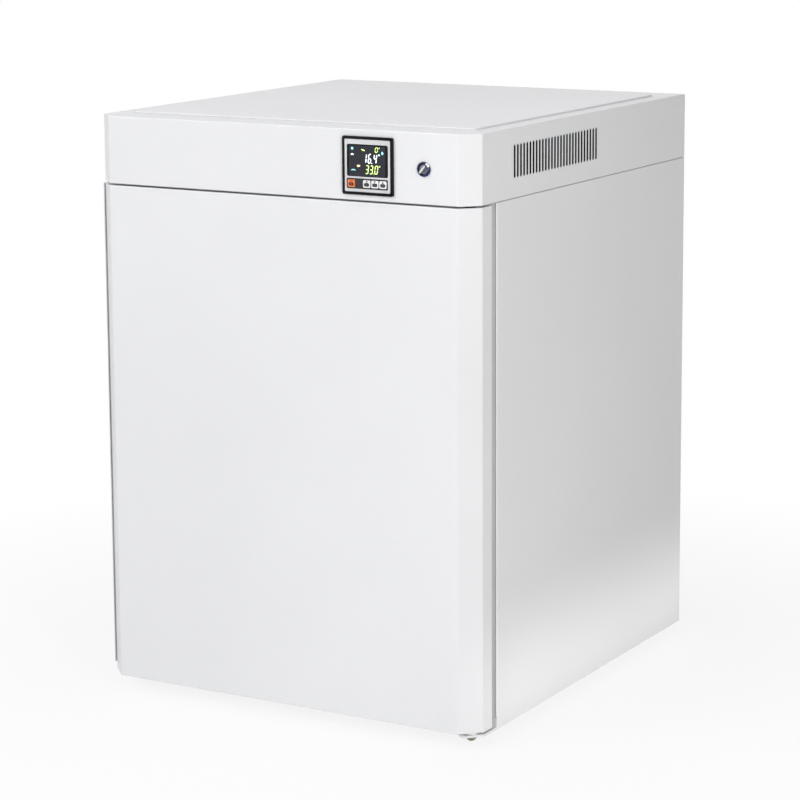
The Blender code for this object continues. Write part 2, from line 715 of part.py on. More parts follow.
def chamber_liner():
    """Stainless chamber with rounded corners and a flange that closes the water jacket in front."""
    half_x = CHAMBER_WIDTH / 2
    half_z = CHAMBER_HEIGHT / 2
    out_x = TANK_HALF_WIDTH + TANK_SHEET
    out_z = TANK_HALF_HEIGHT + TANK_SHEET
    centre = (0, CHAMBER_MIDDLE)
    inside = rounded(half_x, half_z, CHAMBER_RADIUS, centre)
    radius = CHAMBER_RADIUS + TANK_SHEET
    outside = rounded(half_x + TANK_SHEET, half_z + TANK_SHEET, radius, centre)
    rim = rounded(out_x, out_z, radius, centre)
    stations = [(inside, CHAMBER_BACK), (inside, FLANGE_Y), (rim, FLANGE_Y),
                (rim, FLANGE_Y + TANK_SHEET), (outside, FLANGE_Y + TANK_SHEET),
                (outside, CHAMBER_BACK + TANK_SHEET)]
    liner = add("chamber_liner", tray(stations), "stainless")
    shaft_bore = SHAFT_TUBE_RADIUS - SHAFT_TUBE_WALL
    top = CHAMBER_TOP + TANK_SHEET + WATER_GAP - FIT
    probe = (PROBE_X, PROBE_Y, 0)
    rooted = TANK_SHEET / 3
    shaft = (0, 0, FAN_Z)
    join(liner, merge(
        rod(SHAFT_TUBE_RADIUS, "Y", shaft, CHAMBER_BACK + rooted, TANK_BACK - FIT),
        rod(SLEEVE_RADIUS, "Z", probe, CHAMBER_TOP + rooted, top, 12)))
    cut(liner, merge(
        rod(shaft_bore, "Y", shaft, CHAMBER_BACK - CUT_OVER, TANK_BACK + CUT_OVER),
        rod(PROBE_RADIUS + 1, "Z", probe, CHAMBER_TOP - CUT_OVER, top + CUT_OVER, 12)))
    return liner


def water_tank():
    """Outer wall of the water jacket, open in front, where the chamber's flange closes it."""
    centre = (0, CHAMBER_MIDDLE)
    radius = CHAMBER_RADIUS
    inside = rounded(TANK_HALF_WIDTH, TANK_HALF_HEIGHT, radius, centre)
    outside = rounded(TANK_HALF_WIDTH + TANK_SHEET, TANK_HALF_HEIGHT + TANK_SHEET,
                      radius + TANK_SHEET, centre)
    front = FLANGE_Y + TANK_SHEET + FIT
    stations = [(inside, TANK_BACK), (inside, front), (outside, front), (outside, TANK_OUT)]
    tank = add("water_tank", tray(stations), "stainless")
    low, high = TANK_BACK - CUT_OVER, TANK_OUT + CUT_OVER
    top = CHAMBER_TOP + TANK_SHEET + WATER_GAP
    holes = [rod(SHAFT_TUBE_RADIUS - SHAFT_TUBE_WALL, "Y", (0, 0, FAN_Z), low, high)]
    for x, z in PIPE_PLACES:
        holes.append(rod(NOZZLE_RADIUS + 2 * FIT, "Y", (x, 0, z), low, high, 12))
    for sign in (-1, 1):
        centre = (sign * HEATER_SPAN / 2, 0, DRAIN_Z)
        holes.append(rod(HEATER_RADIUS + 2 * FIT, "Y", centre, low, high, 10))
        radius = PROBE_RADIUS + (FIT if sign > 0 else 1)
        centre = (sign * abs(PROBE_X), PROBE_Y, 0)
        holes.append(rod(radius, "Z", centre, top - CUT_OVER, top + CUT_OVER, 10))
    cut(tank, merge(*holes))
    return tank


def insulation():
    """Rigid foam round the tank, and a slab behind it with pockets for what stands out there."""
    gap = CASE_SHEET + FIT
    half = WIDTH / 2 - gap
    low, high = CASE_BOTTOM + gap, CASE_TOP - gap
    hole = rounded(TANK_HALF_WIDTH + TANK_SHEET + FIT, TANK_HALF_HEIGHT + TANK_SHEET + FIT,
                   CHAMBER_RADIUS + TANK_SHEET, (0, CHAMBER_MIDDLE))
    front, middle, back = CASE_FRONT + gap, TANK_OUT + FIT, BACK - gap
    outline = rectangle(-half, half, low, high)
    wrap = add("insulation_wrap", plate(outline, "Y", front, middle, [hole]), "foam")
    probe, sensor = (PROBE_X, PROBE_Y, 0), (-PROBE_X, PROBE_Y, 0)
    sensor_top = TANK_TOP + FIT + SENSOR_HEAD_HEIGHT + 2
    pockets = [rod(PROBE_RADIUS + 1, "Z", probe, CHAMBER_TOP, CASE_TOP + CUT_OVER, 12),
               rod(SENSOR_POCKET_RADIUS, "Z", sensor, CHAMBER_TOP, sensor_top, 12)]
    stud = CASE_BOTTOM + FOOT_POCKET
    places = foot_places()
    for name in ("foot_front_left", "foot_front_right"):
        pockets.append(rod(FOOT_STUD_RADIUS + 1, "Z", (*places[name], 0), 0, stud, 12))
    cut(wrap, merge(*pockets))
    slab = add("insulation_back", block((-half, middle + FIT, low), (half, back, high)), "foam")
    start = middle - CUT_OVER
    motor_end = TANK_OUT + MOTOR_LENGTH + MOTOR_FLANGE + CUT_OVER
    pockets = [rod(MOTOR_FLANGE_RADIUS + 2, "Y", (0, 0, FAN_Z), start, motor_end, 16)]
    for x, z in PIPE_PLACES:
        pockets.append(rod(NOZZLE_RADIUS + 1, "Y", (x, 0, z), start, BACK + CUT_OVER, 12))
    reach = HEATER_SPAN / 2 + HEATER_POCKET_HALF
    pockets.append(block((-reach, start, DRAIN_Z - HEATER_POCKET_HALF),
                         (reach, TANK_OUT + HEATER_POCKET, DRAIN_Z + HEATER_POCKET_HALF)))
    for name in ("foot_rear_left", "foot_rear_right"):
        pockets.append(rod(FOOT_STUD_RADIUS + 1, "Z", (*places[name], 0), 0, stud, 12))
    cut(slab, merge(*pockets))


def immersion_heater():
    """Hairpin heater in the water under the chamber, on a flange behind the tank."""
    half = HEATER_SPAN / 2
    back = TANK_OUT + HEATER_TAIL
    front = FLANGE_Y + TANK_SHEET + HEATER_FRONT_GAP + HEATER_RADIUS + half
    straight = front + HEATER_SPAN / 4
    turn = [(half * math.cos(a), front - half * math.sin(a), DRAIN_Z)
            for a in (math.pi * step / 12 for step in range(13))]
    path = [(half, back, DRAIN_Z), (half, straight, DRAIN_Z), *turn,
            (-half, straight, DRAIN_Z), (-half, back, DRAIN_Z)]
    heater = add("immersion_heater", tube(path, HEATER_RADIUS), "stainless", smooth=True)
    seat = TANK_OUT + FIT
    flange = rounded(half + HEATER_FLANGE_MARGIN, HEATER_FLANGE_MARGIN - 1, 8, (0, DRAIN_Z))
    join(heater, plate(flange, "Y", seat, seat + HEATER_FLANGE))


def sensors():
    """Level float in the top of the jacket, and the temperature probe into the chamber."""
    low = CHAMBER_TOP + TANK_SHEET + FLOAT_GAP
    high = low + FLOAT_HEIGHT
    seat = TANK_TOP + FIT
    top = seat + SENSOR_HEAD_HEIGHT
    wide = FLOAT_RADIUS
    profile = [(0, low), (wide - 1, low), (wide, low + 1), (wide, high - 1), (wide - 1, high),
               (PROBE_RADIUS, high), (PROBE_RADIUS, seat), (wide, seat), (wide, top - 2),
               (wide - 3, top), (0, top)]
    add("level_sensor", lathe(profile, "Z", (-PROBE_X, PROBE_Y, 0), 12), "grey_plastic",
        smooth=True)
    tip = CHAMBER_TOP - PROBE_DROP
    seat = FLOOR_TOP + FIT
    top = seat + PROBE_HEAD_HEIGHT
    profile = [(0, tip), (PROBE_RADIUS - 1, tip + 0.5), (PROBE_RADIUS, tip + 2),
               (PROBE_RADIUS, seat), (PROBE_COLLAR_RADIUS, seat), (PROBE_COLLAR_RADIUS, seat + 4),
               (PROBE_RADIUS + 1, seat + 6), (PROBE_RADIUS + 1, top), (0, top)]
    add("temperature_probe", lathe(profile, "Z", (PROBE_X, PROBE_Y, 0), 12), "stainless",
        smooth=True)


# Chamber fittings

def duct_cover():
    """Rear duct panel: intake slots in a round field, outlet slots above and below."""
    half = CHAMBER_WIDTH / 2 - 1.0
    end = CHAMBER_RADIUS + DUCT_END_GAP
    low, high = CHAMBER_BOTTOM + end, CHAMBER_TOP - end
    back = CHAMBER_BACK - FIT
    holes = []
    for step in range(-3, 4):
        x = step * INTAKE_PITCH
        height = 2 * math.sqrt((FAN_RADIUS - INTAKE_WIDTH) ** 2 - x * x)
        holes.append(slot(INTAKE_WIDTH, height, (x, FAN_Z)))
        for z in (low + OUTLET_INSET, high - OUTLET_INSET):
            holes.append(slot(OUTLET_WIDTH, OUTLET_HEIGHT, (step * OUTLET_PITCH, z)))
    outline = rectangle(-half, half, low, high)
    panel = plate(outline, "Y", DUCT_Y, DUCT_Y + DUCT_SHEET, holes)
    cover = add("duct_cover", panel, "stainless")
    sides = []
    for sign in (-1, 1):
        edge = sign * half
        inner = edge - sign * DUCT_SHEET
        sides.append(block((min(edge, inner), DUCT_Y + DUCT_SHEET / 2, low),
                           (max(edge, inner), back, high)))
    join(cover, *sides)


def fan():
    """Impeller with backward-leaning blades on its shaft, and the motor behind the tank."""
    base = FAN_Y + FAN_WIDTH
    shaft_end = TANK_OUT + SHAFT_REACH
    hub = [(0, FAN_Y), (SHAFT_RADIUS + 2, FAN_Y), (FAN_HUB_RADIUS, base - 4),
           (FAN_RADIUS, base - 1.5), (FAN_RADIUS, base), (SHAFT_RADIUS, base),
           (SHAFT_RADIUS, shaft_end), (0, shaft_end)]
    impeller = add("fan_impeller", lathe(hub, "Y", (0, 0, FAN_Z), 20), "black_plastic",
                   (0, FAN_Y, FAN_Z), True)
    blades = []
    inner, outer = FAN_RADIUS * 0.62, FAN_RADIUS - 1
    for index in range(FAN_BLADES):
        turn = math.tau * index / FAN_BLADES
        near = Vector((inner * math.cos(turn), inner * math.sin(turn)))
        far_turn = turn - math.radians(BLADE_LEAN)
        far = Vector((outer * math.cos(far_turn), outer * math.sin(far_turn)))
        along = (far - near).normalized()
        side = Vector((-along.y, along.x)) * BLADE_THICKNESS / 2
        outline = [near - side, far - side, far + side, near + side]
        blades.append(plate([(p.x, FAN_Z + p.y) for p in outline], "Y", FAN_Y + 2, base - 1.0))
    join(impeller, merge(*blades))
    start = TANK_OUT + FIT
    bore = SHAFT_RADIUS + FIT
    deep = start + SHAFT_REACH + 2
    flange = start + MOTOR_FLANGE
    end = start + MOTOR_LENGTH
    profile = [(0, deep), (bore, deep), (bore, start), (MOTOR_FLANGE_RADIUS, start),
               (MOTOR_FLANGE_RADIUS, flange), (MOTOR_RADIUS, flange), (MOTOR_RADIUS, end - 4),
               (MOTOR_RADIUS - 4, end), (0, end)]
    add("fan_motor", lathe(profile, "Y", (0, 0, FAN_Z), 16), "zinc_steel", smooth=True)


def ledge_height(index):
    """Top of a ledge of the shelf racks, counted from the lowest."""
    spacing = (CHAMBER_HEIGHT - 2 * RACK_END_GAP) / (RACK_LEDGES + 1)
    return CHAMBER_BOTTOM + RACK_END_GAP + spacing * (index + 1)


def shelf_racks():
    """Pressed racks on both side walls: two uprights joined by runners."""
    middle = (FLANGE_Y + DUCT_Y) / 2
    for name, sign in (("shelf_rack_left", -1), ("shelf_rack_right", 1)):
        wall = sign * (CHAMBER_WIDTH / 2 - FIT)
        face = wall - sign * RACK_SHEET
        tip = face - sign * LEDGE_WIDTH
        low, high = CHAMBER_BOTTOM + CHAMBER_RADIUS, CHAMBER_TOP - CHAMBER_RADIUS
        uprights = []
        for place in (-1, 1):
            y = middle + place * RACK_SPACING / 2
            uprights.append(block((min(wall, face), y - RACK_UPRIGHT / 2, low),
                                  (max(wall, face), y + RACK_UPRIGHT / 2, high)))
        rack = None
        for index in range(RACK_LEDGES):
            top = ledge_height(index)
            half = LEDGE_LENGTH / 2
            under = top - LEDGE_THICKNESS
            foot = top - LEDGE_FLANGE
            runner = [(wall, foot), (wall, top), (tip, top), (tip, under), (face, under),
                      (face, foot)]
            bar = plate(runner, "Y", middle - half, middle + half)
            if rack is None:
                rack = add(name, bar, "stainless")
            else:
                uprights.append(bar)
        join(rack, *uprights)


def shelves():
    """Two grid shelves: a deep rim round crossing bars."""
    half = CHAMBER_WIDTH / 2 - FIT - RACK_SHEET - SHELF_SIDE_GAP
    front = FLANGE_Y + SHELF_FRONT_GAP
    back = front + SHELF_DEPTH
    pitch_x = (2 * half - 2 * SHELF_RIM + SHELF_BAR) / SHELF_COLUMNS
    pitch_y = (SHELF_DEPTH - 2 * SHELF_RIM + SHELF_BAR) / SHELF_ROWS
    cells = []
    for column in range(SHELF_COLUMNS):
        for row in range(SHELF_ROWS):
            left = -half + SHELF_RIM + column * pitch_x
            near = front + SHELF_RIM + row * pitch_y
            cells.append(rectangle(left, left + pitch_x - SHELF_BAR,
                                   near, near + pitch_y - SHELF_BAR))
    for name, ledge in zip(("shelf_lower", "shelf_upper"), SHELF_LEDGES):
        low = ledge_height(ledge) + FIT
        outline = rectangle(-half, half, front, back)
        shelf = add(name, plate(outline, "Z", low, low + SHELF_BAR, cells), "stainless")
        top = low + SHELF_RIM_HEIGHT
        bar = SHELF_BAR
        inside = rectangle(-half + bar, half - bar, front + bar, back - bar)
        rim = plate(outline, "Z", low + bar / 2, top, [inside])
        join(shelf, rim)


# Outer door

def door_skin():
    """Outer shell of the door, folded on all sides and open behind."""
    shell = plate(chamfered(0, DOOR_THICKNESS), "Z", DOOR_BOTTOM, DOOR_TOP)
    round_edges(shell, lambda a, b: a.y < CHAMFER + 1 and b.y < CHAMFER + 1)
    skin = add("door_skin", shell, "white_paint", HINGE_ORIGIN)
    cut(skin, plate(chamfered(DOOR_SKIN, DOOR_THICKNESS + CUT_OVER), "Z",
                    DOOR_BOTTOM + DOOR_SKIN, DOOR_TOP - DOOR_SKIN))
    cut(skin, rod(BUSH_RADIUS + FIT, "Z", (HINGE_X, HINGE_BACK, 0),
                  DOOR_BOTTOM - CUT_OVER, DOOR_TOP + CUT_OVER))
    return skin


def door_insulation():
    """Foam core of the door, clear of the bushes at both ends."""
    gap = DOOR_SKIN + FIT
    end = DOOR_SKIN + BUSH_LENGTH + 2
    outline = chamfered(gap, DOOR_THICKNESS - LINER_SHEET - FIT)
    mesh = plate(outline, "Z", DOOR_BOTTOM + end, DOOR_TOP - end)
    add("door_insulation", mesh, "foam", HINGE_ORIGIN)


def door_liner():
    """Inner panel of the door with a shallow pressed pan."""
    half_x = WIDTH / 2 - DOOR_SKIN - FIT
    half_z = (DOOR_TOP - DOOR_BOTTOM) / 2 - DOOR_SKIN - FIT
    middle = (DOOR_TOP + DOOR_BOTTOM) / 2
    back = DOOR_THICKNESS
    front = back - LINER_SHEET
    pan_x, pan_z = CHAMBER_WIDTH / 2, CHAMBER_HEIGHT / 2
    rim = rounded(half_x, half_z, 2, (0, middle))
    foot = rounded(pan_x, pan_z, 16, (0, CHAMBER_MIDDLE))
    crown = rounded(pan_x - PAN_SLOPE, pan_z - PAN_SLOPE, 14, (0, CHAMBER_MIDDLE))
    stations = [(crown, back + PAN_RISE), (foot, back), (rim, back), (rim, front), (foot, front),
                (crown, front + PAN_RISE)]
    add("door_liner", tray(stations), "stainless", HINGE_ORIGIN)


def door_gasket():
    """Magnetic bellows gasket: fixing fin, folded wall and magnet head."""
    half_x = WIDTH / 2 - GASKET_INSET - GASKET_WIDTH
    half_z = CASE_HEIGHT / 2 - GASKET_INSET - GASKET_WIDTH
    middle = (CASE_BOTTOM + CASE_TOP) / 2
    near = DOOR_THICKNESS + FIT
    far = CASE_FRONT - FIT
    wide = GASKET_WIDTH
    profile = [(0, near), (wide, near), (wide, near + 2), (wide - 5, near + 2.5),
               (wide - 5, near + 4.5), (wide - 3, near + 6), (wide - 5, near + 7.5),
               (wide - 2, near + 8.5), (wide - 2, far), (3, far), (3, near + 8.5),
               (5, near + 7.5), (3, near + 6), (5, near + 4.5), (5, near + 2.5), (0, near + 2)]
    mesh = frame_sweep(profile, half_x, half_z, middle)
    add("door_gasket", mesh, "grey_rubber", HINGE_ORIGIN)


def door_grip():
    """Grip profile along the door's left edge: a lip, a groove behind it and a finger bead."""
    face = -WIDTH / 2 - FIT
    out = face - GRIP_PROUD
    lip = face - GRIP_GROOVE
    waist = face - GRIP_PROUD / 2
    front = CHAMFER
    root = front + GRIP_GROOVE_DEPTH
    outline = [(face, root), (lip, root), (lip, front), (out + 0.5, front), (out, front + 0.5),
               (out, root), (waist, root + 2), (waist, GRIP_BACK - 6), (out, GRIP_BACK - 4),
               (out, GRIP_BACK - 1), (out + 1, GRIP_BACK), (face, GRIP_BACK)]
    mesh = plate(outline, "Z", DOOR_BOTTOM + GRIP_BOTTOM_INSET, DOOR_TOP - GRIP_TOP_INSET)
    add("door_grip", mesh, "grey_plastic", HINGE_ORIGIN)


def hinges():
    """Pins above and below the door, the lower bracket and the bushes that turn with the door."""
    centre = (HINGE_X, HINGE_BACK, 0)
    bore = PIN_RADIUS + FIT
    body = BUSH_RADIUS
    rim = body + BUSH_FLANGE
    deep = DOOR_TOP - BUSH_LENGTH
    seat = DOOR_TOP + FIT
    rim_top = seat + UPPER_FLANGE
    upper = [(bore, deep), (body, deep), (body, seat), (rim, seat), (rim, rim_top), (bore, rim_top)]
    add("hinge_bush_upper", lathe(upper, "Z", centre, 14, True), "black_plastic",
        (HINGE_X, HINGE_BACK, DOOR_TOP), True)
    washer = DOOR_BOTTOM_GAP - BRACKET_THICKNESS - 2 * FIT
    seat = DOOR_BOTTOM - FIT
    lower = [(bore, seat - washer), (rim, seat - washer), (rim, seat), (body, seat),
             (body, DOOR_BOTTOM + BUSH_LENGTH), (bore, DOOR_BOTTOM + BUSH_LENGTH)]
    add("hinge_bush_lower", lathe(lower, "Z", centre, 14, True), "white_plastic",
        HINGE_ORIGIN, True)
    head = FLOOR_TOP + FIT
    tip = DOOR_TOP - PIN_REACH
    pin = [(0, tip), (PIN_RADIUS - 1, tip), (PIN_RADIUS, tip + 1), (PIN_RADIUS, head),
           (PIN_RADIUS * 2, head), (PIN_RADIUS * 2, head + PIN_HEAD), (0, head + PIN_HEAD)]
    add("hinge_pin_upper", lathe(pin, "Z", centre, 14), "zinc_steel", smooth=True)
    plate_top = CASE_BOTTOM + BRACKET_THICKNESS
    arm = CASE_FRONT - FIT
    left, right = HINGE_X - BRACKET_WIDTH / 2, WIDTH / 2
    corner = BRACKET_CORNER
    front = HINGE_BACK - BRACKET_NOSE
    slant = CHAMFER + BRACKET_SETBACK
    side = [(left, arm), (left, front + corner), (left + corner, front),
            (right - slant + front, front), (right, slant), (right, arm)]
    hole = circle(bore, (HINGE_X, HINGE_BACK), 16)
    bracket = add("hinge_bracket_lower", plate(side, "Z", CASE_BOTTOM, plate_top, [hole]),
                  "white_paint")
    join(bracket, block((left, arm - BRACKET_FOLD, plate_top - 1),
                        (right, arm, CASE_BOTTOM + BRACKET_UPSTAND)))
    under = CASE_BOTTOM - FIT
    nut = NUT_RADIUS
    dome = [(nut * across, under - NUT_HEIGHT * down)
            for across, down in ((0, 1), (0.45, 0.87), (0.8, 0.57), (1, 0.2), (1, 0))]
    tip = DOOR_BOTTOM + PIN_REACH
    pin = [*dome, (PIN_RADIUS, under), (PIN_RADIUS, tip - 1), (PIN_RADIUS - 1, tip), (0, tip)]
    add("hinge_pin_lower", lathe(pin, "Z", centre, 14), "zinc_steel", smooth=True)


# Inner glass door

def inner_door():
    """Glass pane in a grooved frame with a silicone seal, a knob and two pivots."""
    origin = (PIVOT_X, PIVOT_Y, CHAMBER_MIDDLE)
    wide = GLASS_FRAME_WIDTH
    hole_x, hole_z = GLASS_HALF_WIDTH - wide, GLASS_HALF_HEIGHT - wide
    middle = (GLASS_FRONT + GLASS_BACK) / 2
    half_groove = GLASS_THICKNESS / 2 + FIT
    near, far = middle - half_groove, middle + half_groove
    profile = [(0, GLASS_FRONT + 0.8), (0.8, GLASS_FRONT), (wide - 0.8, GLASS_FRONT),
               (wide, GLASS_FRONT + 0.8), (wide, GLASS_BACK), (0, GLASS_BACK), (0, far),
               (GLASS_GROOVE, far), (GLASS_GROOVE, near), (0, near)]
    mesh = frame_sweep(profile, hole_x, hole_z, CHAMBER_MIDDLE)
    frame = add("inner_door_frame", mesh, "aluminium", origin)
    top = CHAMBER_MIDDLE + GLASS_HALF_HEIGHT
    bottom = CHAMBER_MIDDLE - GLASS_HALF_HEIGHT
    bore = PIVOT_RADIUS + FIT
    deep = PIVOT_REACH + FIT
    pivot = (PIVOT_X, PIVOT_Y, 0)
    cut(frame, merge(rod(bore, "Z", pivot, top - deep, top + CUT_OVER),
                     rod(bore, "Z", pivot, bottom - CUT_OVER, bottom + deep)))
    pane_x, pane_z = hole_x + GLASS_GROOVE - FIT, hole_z + GLASS_GROOVE - FIT
    half = GLASS_THICKNESS / 2
    outline = rounded(pane_x, pane_z, 3, (0, CHAMBER_MIDDLE), 2)
    add("inner_door_glass", plate(outline, "Y", middle - half, middle + half), "glass", origin)
    seal_x = PIVOT_X - 1 - GLASS_SEAL_WIDTH
    seal_z = seal_x + (GLASS_HALF_HEIGHT - GLASS_HALF_WIDTH)
    start, end = GLASS_BACK + FIT, FLANGE_Y - FIT
    width = GLASS_SEAL_WIDTH
    seal = [(0, start), (width, start), (width, end - 1), (width - 2, end), (2, end), (0, end - 1)]
    mesh = frame_sweep(seal, seal_x, seal_z, CHAMBER_MIDDLE)
    add("inner_door_gasket", mesh, "white_rubber", origin)
    seat = GLASS_FRONT - FIT
    tip = seat - KNOB_LENGTH
    knob = [(0, tip), (KNOB_RADIUS - 1.5, tip), (KNOB_RADIUS, tip + 1.2), (KNOB_RADIUS, tip + 4),
            (KNOB_RADIUS - 3, seat - 3), (KNOB_RADIUS - 2.5, seat), (0, seat)]
    centre = (-GLASS_HALF_WIDTH + wide / 2, 0, CHAMBER_MIDDLE)
    add("inner_door_knob", lathe(knob, "Y", centre, 14), "black_plastic", origin, True)
    for name, sign in (("inner_hinge_upper", 1), ("inner_hinge_lower", -1)):
        wall = CHAMBER_MIDDLE + sign * (RECESS_HALF_HEIGHT - FIT)
        inner = wall - sign * PIVOT_PLATE
        tip = CHAMBER_MIDDLE + sign * (GLASS_HALF_HEIGHT - PIVOT_REACH)
        side = PIVOT_PLATE_WIDTH / 2
        outline = rectangle(PIVOT_X - side, RECESS_HALF_WIDTH - FIT, GLASS_FRONT, GLASS_BACK)
        base = plate(outline, "Z", min(wall, inner), max(wall, inner))
        rooted = inner + sign
        join(add(name, base, "stainless"),
             rod(PIVOT_RADIUS, "Z", pivot, min(tip, rooted), max(tip, rooted)))


# Rear fittings

def rear_pipe(stop):
    """Profile of a pipe from inside the tank's back wall through the case, with its escutcheon."""
    start = TANK_BACK - 3
    seat = BACK + FIT
    top = seat + ESCUTCHEON_THICKNESS
    wide = ESCUTCHEON_RADIUS
    return [(NOZZLE_BORE, start), (NOZZLE_RADIUS, start), (NOZZLE_RADIUS, seat), (wide, seat),
            (wide, top - 1), (wide - 1, top), (NOZZLE_RADIUS, top), *stop]


def filler():
    """Filler elbow with its cup, and the lift-off cap."""
    end = FITTING_Y
    blind = end - NOZZLE_RADIUS - 4
    pipe = [(0, blind), (NOZZLE_BORE, blind), *rear_pipe([(NOZZLE_RADIUS, end), (0, end)])]
    centre = (FILLER_X, 0, FILLER_Z)
    neck = add("filler_neck", lathe(pipe, "Y", centre, 12), "stainless", smooth=True)
    top = FILLER_Z + FILLER_NECK_HEIGHT
    low = FILLER_Z - NOZZLE_RADIUS - 2
    floor = FILLER_Z + NOZZLE_RADIUS + 1
    wide = FILLER_CUP_RADIUS - 1
    mouth = top - FILLER_MOUTH
    cup = [(0, low), (wide - 3, low), (wide - 1, low + 2), (wide - 1, mouth), (wide, mouth + 4),
           (wide, top), (NOZZLE_RADIUS + 1, top), (NOZZLE_RADIUS, floor), (0, floor)]
    join(neck, lathe(cup, "Z", (FILLER_X, end, 0), 14))
    out = FILLER_CUP_RADIUS + CAP_WALL
    bore = wide + FIT
    lid = top + FIT
    high = lid + CAP_TOP
    cap = [(0, lid), (bore, lid), (bore, lid - CAP_SKIRT), (out, lid - CAP_SKIRT), (out, high - 2),
           (out - 1.5, high), (0, high)]
    add("filler_cap", lathe(cap, "Z", (FILLER_X, end, 0), 16), "black_plastic",
        (FILLER_X, end, lid), True)


def overflow_pipe():
    """Overflow nozzle with two hose barbs."""
    end = BACK + REAR_REACH - 12
    barb = NOZZLE_RADIUS - 1
    tip = barb + BARB_RISE
    stop = [(barb, end - 18), (tip, end - 18), (barb, end - 10), (tip, end - 9), (barb, end),
            (NOZZLE_BORE, end)]
    mesh = lathe(rear_pipe(stop), "Y", (OVERFLOW_X, 0, FILLER_Z), 12, True)
    add("overflow_pipe", mesh, "stainless", smooth=True)


def drain_valve():
    """Ball valve on the drain, with a lever on its stem."""
    end = BACK + REAR_REACH - 2
    seat = BACK + FIT + ESCUTCHEON_THICKNESS
    near = seat + 4
    far = near + BALL_LENGTH
    pipe, ball = NOZZLE_RADIUS, BALL_RADIUS
    stop = [(pipe, near), (ball, near + 2), (ball, far - 2), (pipe, far), (pipe, end - 6),
            (pipe + 1, end - 6), (pipe - 1, end), (NOZZLE_BORE, end)]
    mesh = lathe(rear_pipe(stop), "Y", (DRAIN_X, 0, DRAIN_Z), 12, True)
    valve = add("drain_valve", mesh, "brass", smooth=True)
    stem_y = (near + far) / 2
    stem_top = DRAIN_Z + ball + STEM_HEIGHT
    join(valve, rod(STEM_RADIUS, "Z", (DRAIN_X, stem_y, 0), DRAIN_Z + pipe, stem_top, 12))
    low = stem_top + FIT
    wide = LEVER_HALF_WIDTH
    outline = rounded(LEVER_LENGTH / 2 + wide, wide, wide - 0.5,
                      (DRAIN_X - LEVER_LENGTH / 2, stem_y), 3)
    add("drain_lever", plate(outline, "Z", low, low + LEVER_THICKNESS), "red_plastic",
        (DRAIN_X, stem_y, low))


def mains_inlet():
    """Appliance inlet: flange, shroud and three contact pins."""
    seat = BACK + FIT
    centre = (INLET_X, CONTROL_Z)
    flange = rounded(INLET_WIDTH / 2, INLET_HEIGHT / 2, 3, centre)
    inlet = add("mains_inlet", plate(flange, "Y", seat, seat + INLET_FLANGE), "black_plastic")
    half_u, half_v = INLET_HALF_WIDTH - FIT, INLET_HALF_HEIGHT - FIT
    body = rectangle(INLET_X - half_u, INLET_X + half_u, CONTROL_Z - half_v, CONTROL_Z + half_v)
    join(inlet, plate(body, "Y", BACK - INLET_DEPTH, seat + 1))
    left, right = INLET_X - half_u + INLET_WALL, INLET_X + half_u - INLET_WALL
    low, high = CONTROL_Z - half_v + INLET_WALL, CONTROL_Z + half_v - INLET_WALL
    corner = INLET_CORNER
    recess = [(left, low), (right, low), (right, high - corner), (right - corner, high),
              (left + corner, high), (left, high - corner)]
    cut(inlet, plate(recess, "Y", BACK - INLET_SOCKET_DEPTH, BACK + CUT_OVER))
    pins = []
    for shift_x, shift_z in CONTACT_PLACES:
        x, z = INLET_X + shift_x, CONTROL_Z + shift_z
        pin = rectangle(x - CONTACT_HALF_WIDTH, x + CONTACT_HALF_WIDTH,
                        z - CONTACT_HALF_HEIGHT, z + CONTACT_HALF_HEIGHT)
        pins.append(plate(pin, "Y", BACK - INLET_SOCKET_DEPTH - 1, BACK - 1))
    join(inlet, merge(*pins))


def heat_sink():
    """Finned sink with the relay's block under it, on the header's floor."""
    base = FLOOR_TOP + FIT
    low = base + RELAY_HEIGHT
    slab = low + SINK_BASE
    top = low + SINK_HEIGHT
    pitch = SINK_WIDTH / (SINK_FINS - 1)
    half = SINK_FIN / 2
    places = [SINK_X - SINK_WIDTH / 2 + fin * pitch for fin in range(SINK_FINS)]
    outline = [(places[0] - half, low), (places[-1] + half, low)]
    for x in reversed(places):
        outline += [(x + half, slab), (x + half, top), (x - half, top), (x - half, slab)]
    del outline[2], outline[-1]
    fins = plate(outline, "Y", SINK_BACK - SINK_LENGTH / 2, SINK_BACK + SINK_LENGTH / 2)
    sink = add("heat_sink", fins, "aluminium")
    join(sink, block((SINK_X - RELAY_HALF_WIDTH, SINK_BACK - RELAY_HALF_LENGTH, base),
                     (SINK_X + RELAY_HALF_WIDTH, SINK_BACK + RELAY_HALF_LENGTH, low + 1)))


# Controls

